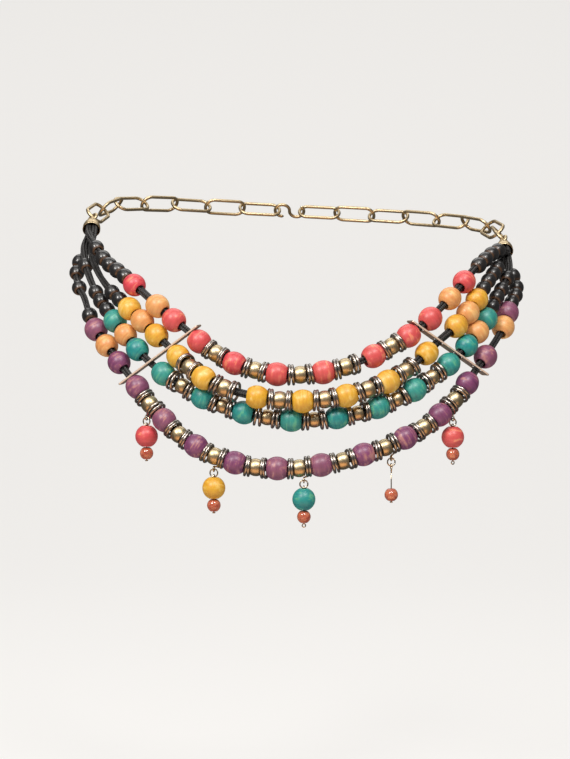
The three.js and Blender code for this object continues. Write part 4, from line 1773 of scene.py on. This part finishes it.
@dataclass
class EndCap:
    """A turned brass cap on the cords' ends: rolled mouth, grooves, tapering shoulder and a wire loop."""

    side: Side
    finishes: Finishes
    around: int = 40
    steps: int = 12
    bulge: float = 1.9
    axis_gap: float = 0.02

    MOUTH_ROWS = ((0.35, 0), (0.8, 0.05), (1.15, 0.22), (1.5, 0.05))
    TIP_ROWS = ((1.2, 0.2), (0.9, 0.42), (0.45, 0.36), (0.1, 0))

    def build(self) -> None:
        """Builds and enters the cap."""
        name = self.side.value
        frame = CapFrame.of(self.side)
        cone = lathe(self._outline(), self.around)
        cone = placed(cone, frame.mouth, frame.out, frame.axis.cross(frame.out), frame.axis)
        turned = Matrix.Rotation(math.radians(-LINK_TWIST), 3, frame.axis) @ frame.out
        middle = frame.mouth + frame.axis * (CAP_LENGTH + CAP_LOOP_RADIUS)
        loop = hoop(CAP_LOOP_RADIUS, CAP_LOOP_WIRE, 36, 12)
        loop = placed(loop, middle, frame.axis, turned, frame.axis.cross(turned))
        piece = Piece(f"{name}_cone", self.finishes.brass, nodes=(f"{name}_cap",))
        piece.enter_form(joined((cone, loop)), CAP_SEED + len(name))

    def _outline(self) -> list[tuple[float, float]]:
        """The cap's outline: up the outside from the mouth, over the tip and down inside the socket."""
        outside = [(height, CAP_MOUTH - inset) for height, inset in self.MOUTH_ROWS]
        for i in range(self.steps + 1):
            share = i / self.steps
            radius = mix(CAP_MOUTH - 0.08, CAP_TIP + 0.5, share**self.bulge)
            outside.append((mix(1.9, CAP_LENGTH - 1.5, share), radius))
        tip = [(CAP_LENGTH - below, CAP_TIP + past) for below, past in self.TIP_ROWS]
        inside = [
            (CAP_LENGTH, CAP_TIP * 0.5),
            (CAP_LENGTH, self.axis_gap),
            (SOCKET_DEPTH, self.axis_gap),
            (SOCKET_DEPTH, CAP_SOCKET - 0.3),
            (SOCKET_DEPTH - 0.3, CAP_SOCKET),
            (0.25, CAP_SOCKET),
            (0.0, CAP_SOCKET + 0.12),
            (0.0, CAP_MOUTH - 0.15),
        ]
        return [*outside, *tip, *inside]


@dataclass
class FasteningChain:
    """The link chain behind the figure and the S-shaped hook that fastens it."""

    finishes: Finishes
    threader: Threader
    hook_steps: int = 96
    tip_steps: int = 4
    tip_area: float = 0.04

    def build(self) -> None:
        """Builds and enters the links and the hook."""
        slack = LINK_WIRE + LINK_PLAY / 2
        reach = CAP_LENGTH + 2 * CAP_LOOP_RADIUS - CAP_LOOP_WIRE - LINK_PLAY / 2
        caps = [CapFrame.of(side) for side in Side]
        ends = [cap.mouth + cap.axis * reach for cap in caps]
        route = Path([ends[0], *(place(*row) for row in CHAIN_ROUTE), ends[1]])
        hook_pitch = 4 * HOOK_RADIUS - 2 * slack
        link_pitch = (route.length - hook_pitch) / LINKS
        whole = link_pitch / 2 + slack + LINK_WIRE
        spans = []
        reached = 0.0
        for i in range(LINKS + 1):
            pitch = hook_pitch if i == LINKS_LEFT_OF_HOOK else link_pitch
            spans.append(self._span(route, reached, reached + pitch, i))
            reached += pitch
        hook, _ = spans.pop(LINKS_LEFT_OF_HOOK)
        seats = [Seat(spot, stretch=(half + slack + LINK_WIRE) / whole) for spot, half in spans]
        oval = circle(LINK_RADIUS, 40, link_pitch / 2 + slack - LINK_RADIUS)
        upright = [Vector((p.y, 0, p.x)) for p in oval]
        link = tube(upright, LINK_WIRE, 12, closed=True, side_hint=Vector((0, 1, 0)))
        names = tuple(f"chain_link_{i + 1:02d}" for i in range(LINKS))
        self.threader.thread(
            Piece("chain_links", self.finishes.brass, nodes=names), link, seats, Play(), CHAIN_SEED
        )
        self._build_hook(hook)

    @staticmethod
    def _span(route: Path, start: float, end: float, number: int) -> tuple[Spot, float]:
        """The spot between two joints of the chain, turned a quarter from its neighbours, and half its span.

        Args:
            route: The chain's path.
            start: Distance to the first joint.
            end: Distance to the next one.
            number: The link's number, which sets its turn.

        Returns:
            The spot, whose out direction lies across the link, and half the span.
        """
        a, b = route.point(start), route.point(end)
        middle = a.lerp(b, 0.5)
        along = (b - a).normalized()
        side = square_to(outward(middle), along).cross(along)
        twist = math.radians(LINK_TWIST if number % 2 else -LINK_TWIST)
        return Spot(middle, along, Matrix.Rotation(twist, 3, along) @ side), (b - a).length / 2

    def _build_hook(self, spot: Spot) -> None:
        """Builds the hook with rounded ends."""
        line = []
        for i in range(self.hook_steps + 1):
            turned = math.radians(mix(-HOOK_CLOSED_TURN, HOOK_OPEN_TURN, i / self.hook_steps))
            radius = math.copysign(HOOK_RADIUS, turned)
            angle = abs(turned)
            line.append(Vector((radius * (1 - math.cos(angle)), radius * math.sin(angle), 0)))
        form = tube(line, self._hook_section, 14, side_hint=UP)
        form = placed(form, spot.point, spot.along, spot.out, spot.along.cross(spot.out))
        Piece("s_hook", self.finishes.brass, nodes=("hook",)).enter_form(form, HOOK_SEED)

    def _hook_section(self, share: float, _angle: float) -> float:
        """Radius of the hook's round wire, which draws in to its ends."""
        count = self.hook_steps + 1
        steps_in = min(share, 1 - 1 / count - share) * count
        short = 1 - min(steps_in / self.tip_steps, 1)
        return LINK_WIRE * math.sqrt(max(self.tip_area, 1 - short**2))


@dataclass
class HangingDrop:
    """One drop under the lowest strand: a loop, a jump ring, an eye pin and its beads."""

    number: int
    place: DropPlace
    line: StrandLine
    finishes: Finishes
    threader: Threader
    neck_radius: float = 0.42
    ring_turns: float = 0.985
    ring_start: float = 35
    ring_steps: int = 48
    ring_wire: float = 0.355
    ring_offset: float = 0.07
    bare_root_aside: float = 0.92
    bare_root_down: float = 0.4
    bare_wire_share: float = 0.85

    def __post_init__(self) -> None:
        """Works out the drop's pivot and directions."""
        spot = self.line.path.spot(self.line.rings[self.place.gap][self.place.ring])
        self.top = spot.point + spot.hang * HANGER_NECK
        self.pivot = spot.point + spot.hang * HANGER_REACH + spot.along * self.place.lean
        self.swing = Vector((spot.along.x, spot.along.y, 0)).normalized()
        self.inner = UP.cross(self.swing)
        self.eye = self.pivot - UP * 2 * JUMP_RING_RADIUS

    def hanger(self) -> Form:
        """The loop and neck under the strand's ring."""
        loop = self._facing_along(hoop(HANGER_RADIUS, HANGER_WIRE, 24), self.pivot)
        neck = self._rod(self.top, self.pivot + UP * HANGER_RADIUS, self.neck_radius)
        return joined((loop, neck))

    def build(self) -> None:
        """Builds and enters the jump ring, the pin and the beads."""
        name = f"drop_{self.number}"
        wire = self.finishes.wire
        ring = Piece(f"{name}_jump_ring", wire, f"ring_{self.number}", (f"{name}_ring",))
        ring.enter_form(self._jump_ring(), JUMP_RING_SEED + self.number)
        Piece(f"{name}_eye_pin", wire, name, (f"{name}_pin",)).enter_form(self._pin(), PIN_SEED + self.number)
        if self.place.dye:
            self._bead("wood", BEAD_SHAPES["drop_wood"], self._top, self.finishes.wood[self.place.dye])
        self._bead("amber", BEAD_SHAPES["amber"], self._top + self._wood_length, self.finishes.amber)

    @property
    def _wood_length(self) -> float:
        """How much of the pin the wooden bead takes."""
        return BEAD_SHAPES["drop_wood"].length + SEAM if self.place.dye else 0.0

    @property
    def _top(self) -> float:
        """Where the beads begin under the eye."""
        return EYE_TO_WOOD if self.place.dye else BARE_WIRE

    def _facing_along(self, form: Form, at: Vector) -> Form:
        """Stands a flat form up so that it faces along the strand."""
        return placed(form, at, self.inner, UP, self.swing)

    def _facing_out(self, form: Form, at: Vector) -> Form:
        """Stands a flat form up so that it faces away from the figure."""
        return placed(form, at, self.swing, UP, self.swing.cross(UP))

    @staticmethod
    def _rod(a: Vector, b: Vector, radius: float) -> Form:
        """A straight wire."""
        return tube([a, a.lerp(b, 0.5), b], radius, WIRE_SIDES)

    def _bead(self, label: str, shape: BeadShape, top: float, look: Look) -> None:
        """Threads one upright bead on the pin.

        Args:
            label: The bead's label in its names.
            shape: Its shape.
            top: How far its top lies under the eye.
            look: Its look.
        """
        body = f"drop_{self.number}"
        seat = Seat(Spot(self.eye - UP * (top + shape.length / 2), UP, self.swing))
        piece = Piece(f"{body}_{label}_bead", look, body, (f"{body}_{label}",))
        self.threader.thread(piece, shape.form(), [seat], Play(), DROP_BEAD_SEED + self.number)

    def _jump_ring(self) -> Form:
        """A ring of one turn of wire, whose cut ends are a hair apart."""
        line = []
        for i in range(self.ring_steps + 1):
            share = i / self.ring_steps
            angle = 2 * math.pi * self.ring_turns * share + math.radians(self.ring_start)
            flat = Vector((math.cos(angle), math.sin(angle), 0)) * JUMP_RING_RADIUS
            line.append(flat + UP * mix(-self.ring_offset, self.ring_offset, share))
        ring = tube(line, self.ring_wire, 12, side_hint=UP)
        return self._facing_out(ring, self.pivot - UP * JUMP_RING_RADIUS)

    def _pin(self) -> Form:
        """The eye, its pointed neck on a bare pin, the straight wire and its end."""
        looped = self.place.looped_tail
        stem = self._top + self._wood_length + BEAD_SHAPES["amber"].length + SEAM
        foot = self.eye - UP * (stem + (PIN_WIRE / 2 if looped else 0))
        parts = [
            self._facing_along(hoop(EYE_RADIUS, PIN_WIRE, 26), self.eye),
            self._rod(self.eye - UP * EYE_RADIUS, foot, PIN_WIRE),
        ]
        if not self.place.dye:
            tip = self.eye - UP * BARE_NECK
            for hand in (-1, 1):
                aside = self.inner * (hand * EYE_RADIUS * self.bare_root_aside)
                root = self.eye + aside - UP * EYE_RADIUS * self.bare_root_down
                parts.append(self._rod(root, tip, PIN_WIRE * self.bare_wire_share))
        if looped:
            parts.append(self._facing_out(hoop(TAIL_LOOP_RADIUS, PIN_WIRE, 22), foot - UP * TAIL_LOOP_RADIUS))
        else:
            parts.append(placed(lathe(TAIL_KNOB, 20), foot, self.swing, self.inner, UP))
        return joined(parts)


@dataclass(frozen=True)
class Lamp:
    """A soft rectangular light.

    It stands at a bearing from the camera's side, at a height angle and at a distance from its target.
    """

    name: str
    bearing: float
    height: float
    distance: float
    size: tuple[float, float]
    power: float
    colour: Colour
    target: Row = (0, -0.06, -0.075)

    def build(self) -> None:
        """Adds the light."""
        data = bpy.data.lights.new(self.name, "AREA")
        data.shape = "RECTANGLE"
        data.size, data.size_y = self.size
        data.energy = self.power
        data.color = self.colour
        bearing, height = math.radians(self.bearing), math.radians(self.height)
        level = math.cos(height)
        away = Vector((math.sin(bearing) * level, -math.cos(bearing) * level, math.sin(height)))
        light = linked(self.name, data)
        light.location = Vector(self.target) + away * self.distance
        light.rotation_euler = (-away).to_track_quat("-Z", "Y").to_euler()


@dataclass
class Studio:
    """The camera at the photograph's place, soft lights and a plain pale floor that sweeps up behind."""

    camera_place: Row = (-6, -850, -85.5)
    lens: float = 69.5
    sensor: float = 36
    clip: tuple[float, float] = (0.05, 50)
    floor: float = -330
    bend: float = 900
    sweep: float = 600
    sweep_steps: int = 24
    reach: float = 2600
    surround: float = 0.11
    surround_colour: Colour = (1.0, 0.99, 0.97)
    lamps: tuple[Lamp, ...] = (
        Lamp("key_left", -36, 33, 1.25, (0.30, 0.30), 8.5, (1.0, 0.975, 0.94)),
        Lamp("key_right", 14, 47, 1.2, (0.26, 0.26), 6.5, (1.0, 0.98, 0.95)),
        Lamp("ceiling", -6, 62, 1.3, (1.8, 1.0), 9, (1.0, 0.985, 0.96)),
        Lamp("warm_bounce", -4, -48, 0.9, (1.5, 0.7), 5.2, (1.0, 0.54, 0.24)),
        Lamp("back_top", 180, 60, 1.3, (1.4, 0.8), 6, (1.0, 0.99, 0.97)),
    )

    def build(self) -> None:
        """Builds the camera, the lights and the sweep."""
        scene = bpy.context.scene
        data = bpy.data.cameras.new("camera")
        data.lens = self.lens
        data.sensor_width = self.sensor
        data.clip_start, data.clip_end = self.clip
        camera = linked("camera", data)
        camera.location = Vector(self.camera_place) * MM
        camera.rotation_euler = (math.radians(90), 0, 0)
        scene.camera = camera
        scene.view_settings.view_transform = "Standard"
        self._build_sweep()
        self._build_world()
        for lamp in self.lamps:
            lamp.build()

    def _build_sweep(self) -> None:
        """Builds the floor, which curves up into a wall."""
        line = [(-self.reach, 0.0), (self.bend, 0.0)]
        for i in range(1, self.sweep_steps + 1):
            angle = math.radians(90 * i / self.sweep_steps)
            line.append((self.bend + self.sweep * math.sin(angle), self.sweep * (1 - math.cos(angle))))
        line.append((self.bend + self.sweep, self.reach))
        count = len(line)
        form = Form()
        form.add(
            [Vector((x, y, self.floor + z)) for x in (-self.reach, self.reach) for y, z in line],
            [(i, i + count, i + count + 1, i + 1) for i in range(count - 1)],
        )
        mesh = form.mesh("floor")
        mesh.materials.append(PalePlain().material())
        floor = linked("floor", mesh)
        floor.visible_glossy = False

    def _build_world(self) -> None:
        """Sets an even grey surround."""
        world = bpy.data.worlds.new("surround")
        world.use_nodes = True
        background = world.node_tree.nodes["Background"]
        background.inputs["Color"].default_value = (*self.surround_colour, 1)
        background.inputs["Strength"].default_value = self.surround
        bpy.context.scene.world = world


def build_strands(finishes: Finishes, threader: Threader) -> StrandLine:
    """Builds the four strands.

    Args:
        finishes: The looks.
        threader: What threads the beads.

    Returns:
        The lowest strand's line, which carries the drops.
    """
    cords = CordMaker()
    lines = [StrandLine(strand, index) for index, strand in enumerate(STRANDS)]
    held = frozenset((drop.gap, drop.ring) for drop in DROP_PLACES)
    for line in lines:
        carries = held if line is lines[-1] else frozenset()
        StrandBeads(line, finishes, threader, cords, carries).build()
    return lines[-1]


def build_drops(line: StrandLine, finishes: Finishes, threader: Threader) -> None:
    """Builds the drops and the loops that they hang from.

    Args:
        line: The strand that carries them.
        finishes: The looks.
        threader: What threads their beads.
    """
    drops = [HangingDrop(i, spot, line, finishes, threader) for i, spot in enumerate(DROP_PLACES, 1)]
    hangers = joined(drop.hanger() for drop in drops)
    Piece("drop_hangers", finishes.wire).enter_form(hangers, HANGER_SEED)
    for drop in drops:
        drop.build()


def main() -> None:
    """Builds the belt and its studio."""
    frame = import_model()
    logging.basicConfig(level=logging.INFO, format="%(name)s %(message)s")
    Studio().build()
    finishes = Finishes()
    threader = Threader()
    lowest = build_strands(finishes, threader)
    for side in Side:
        SpacerStrip(side, finishes).build()
        EndCap(side, finishes).build()
    FasteningChain(finishes, threader).build()
    build_drops(lowest, finishes, threader)


if __name__ == "__main__":
    main()
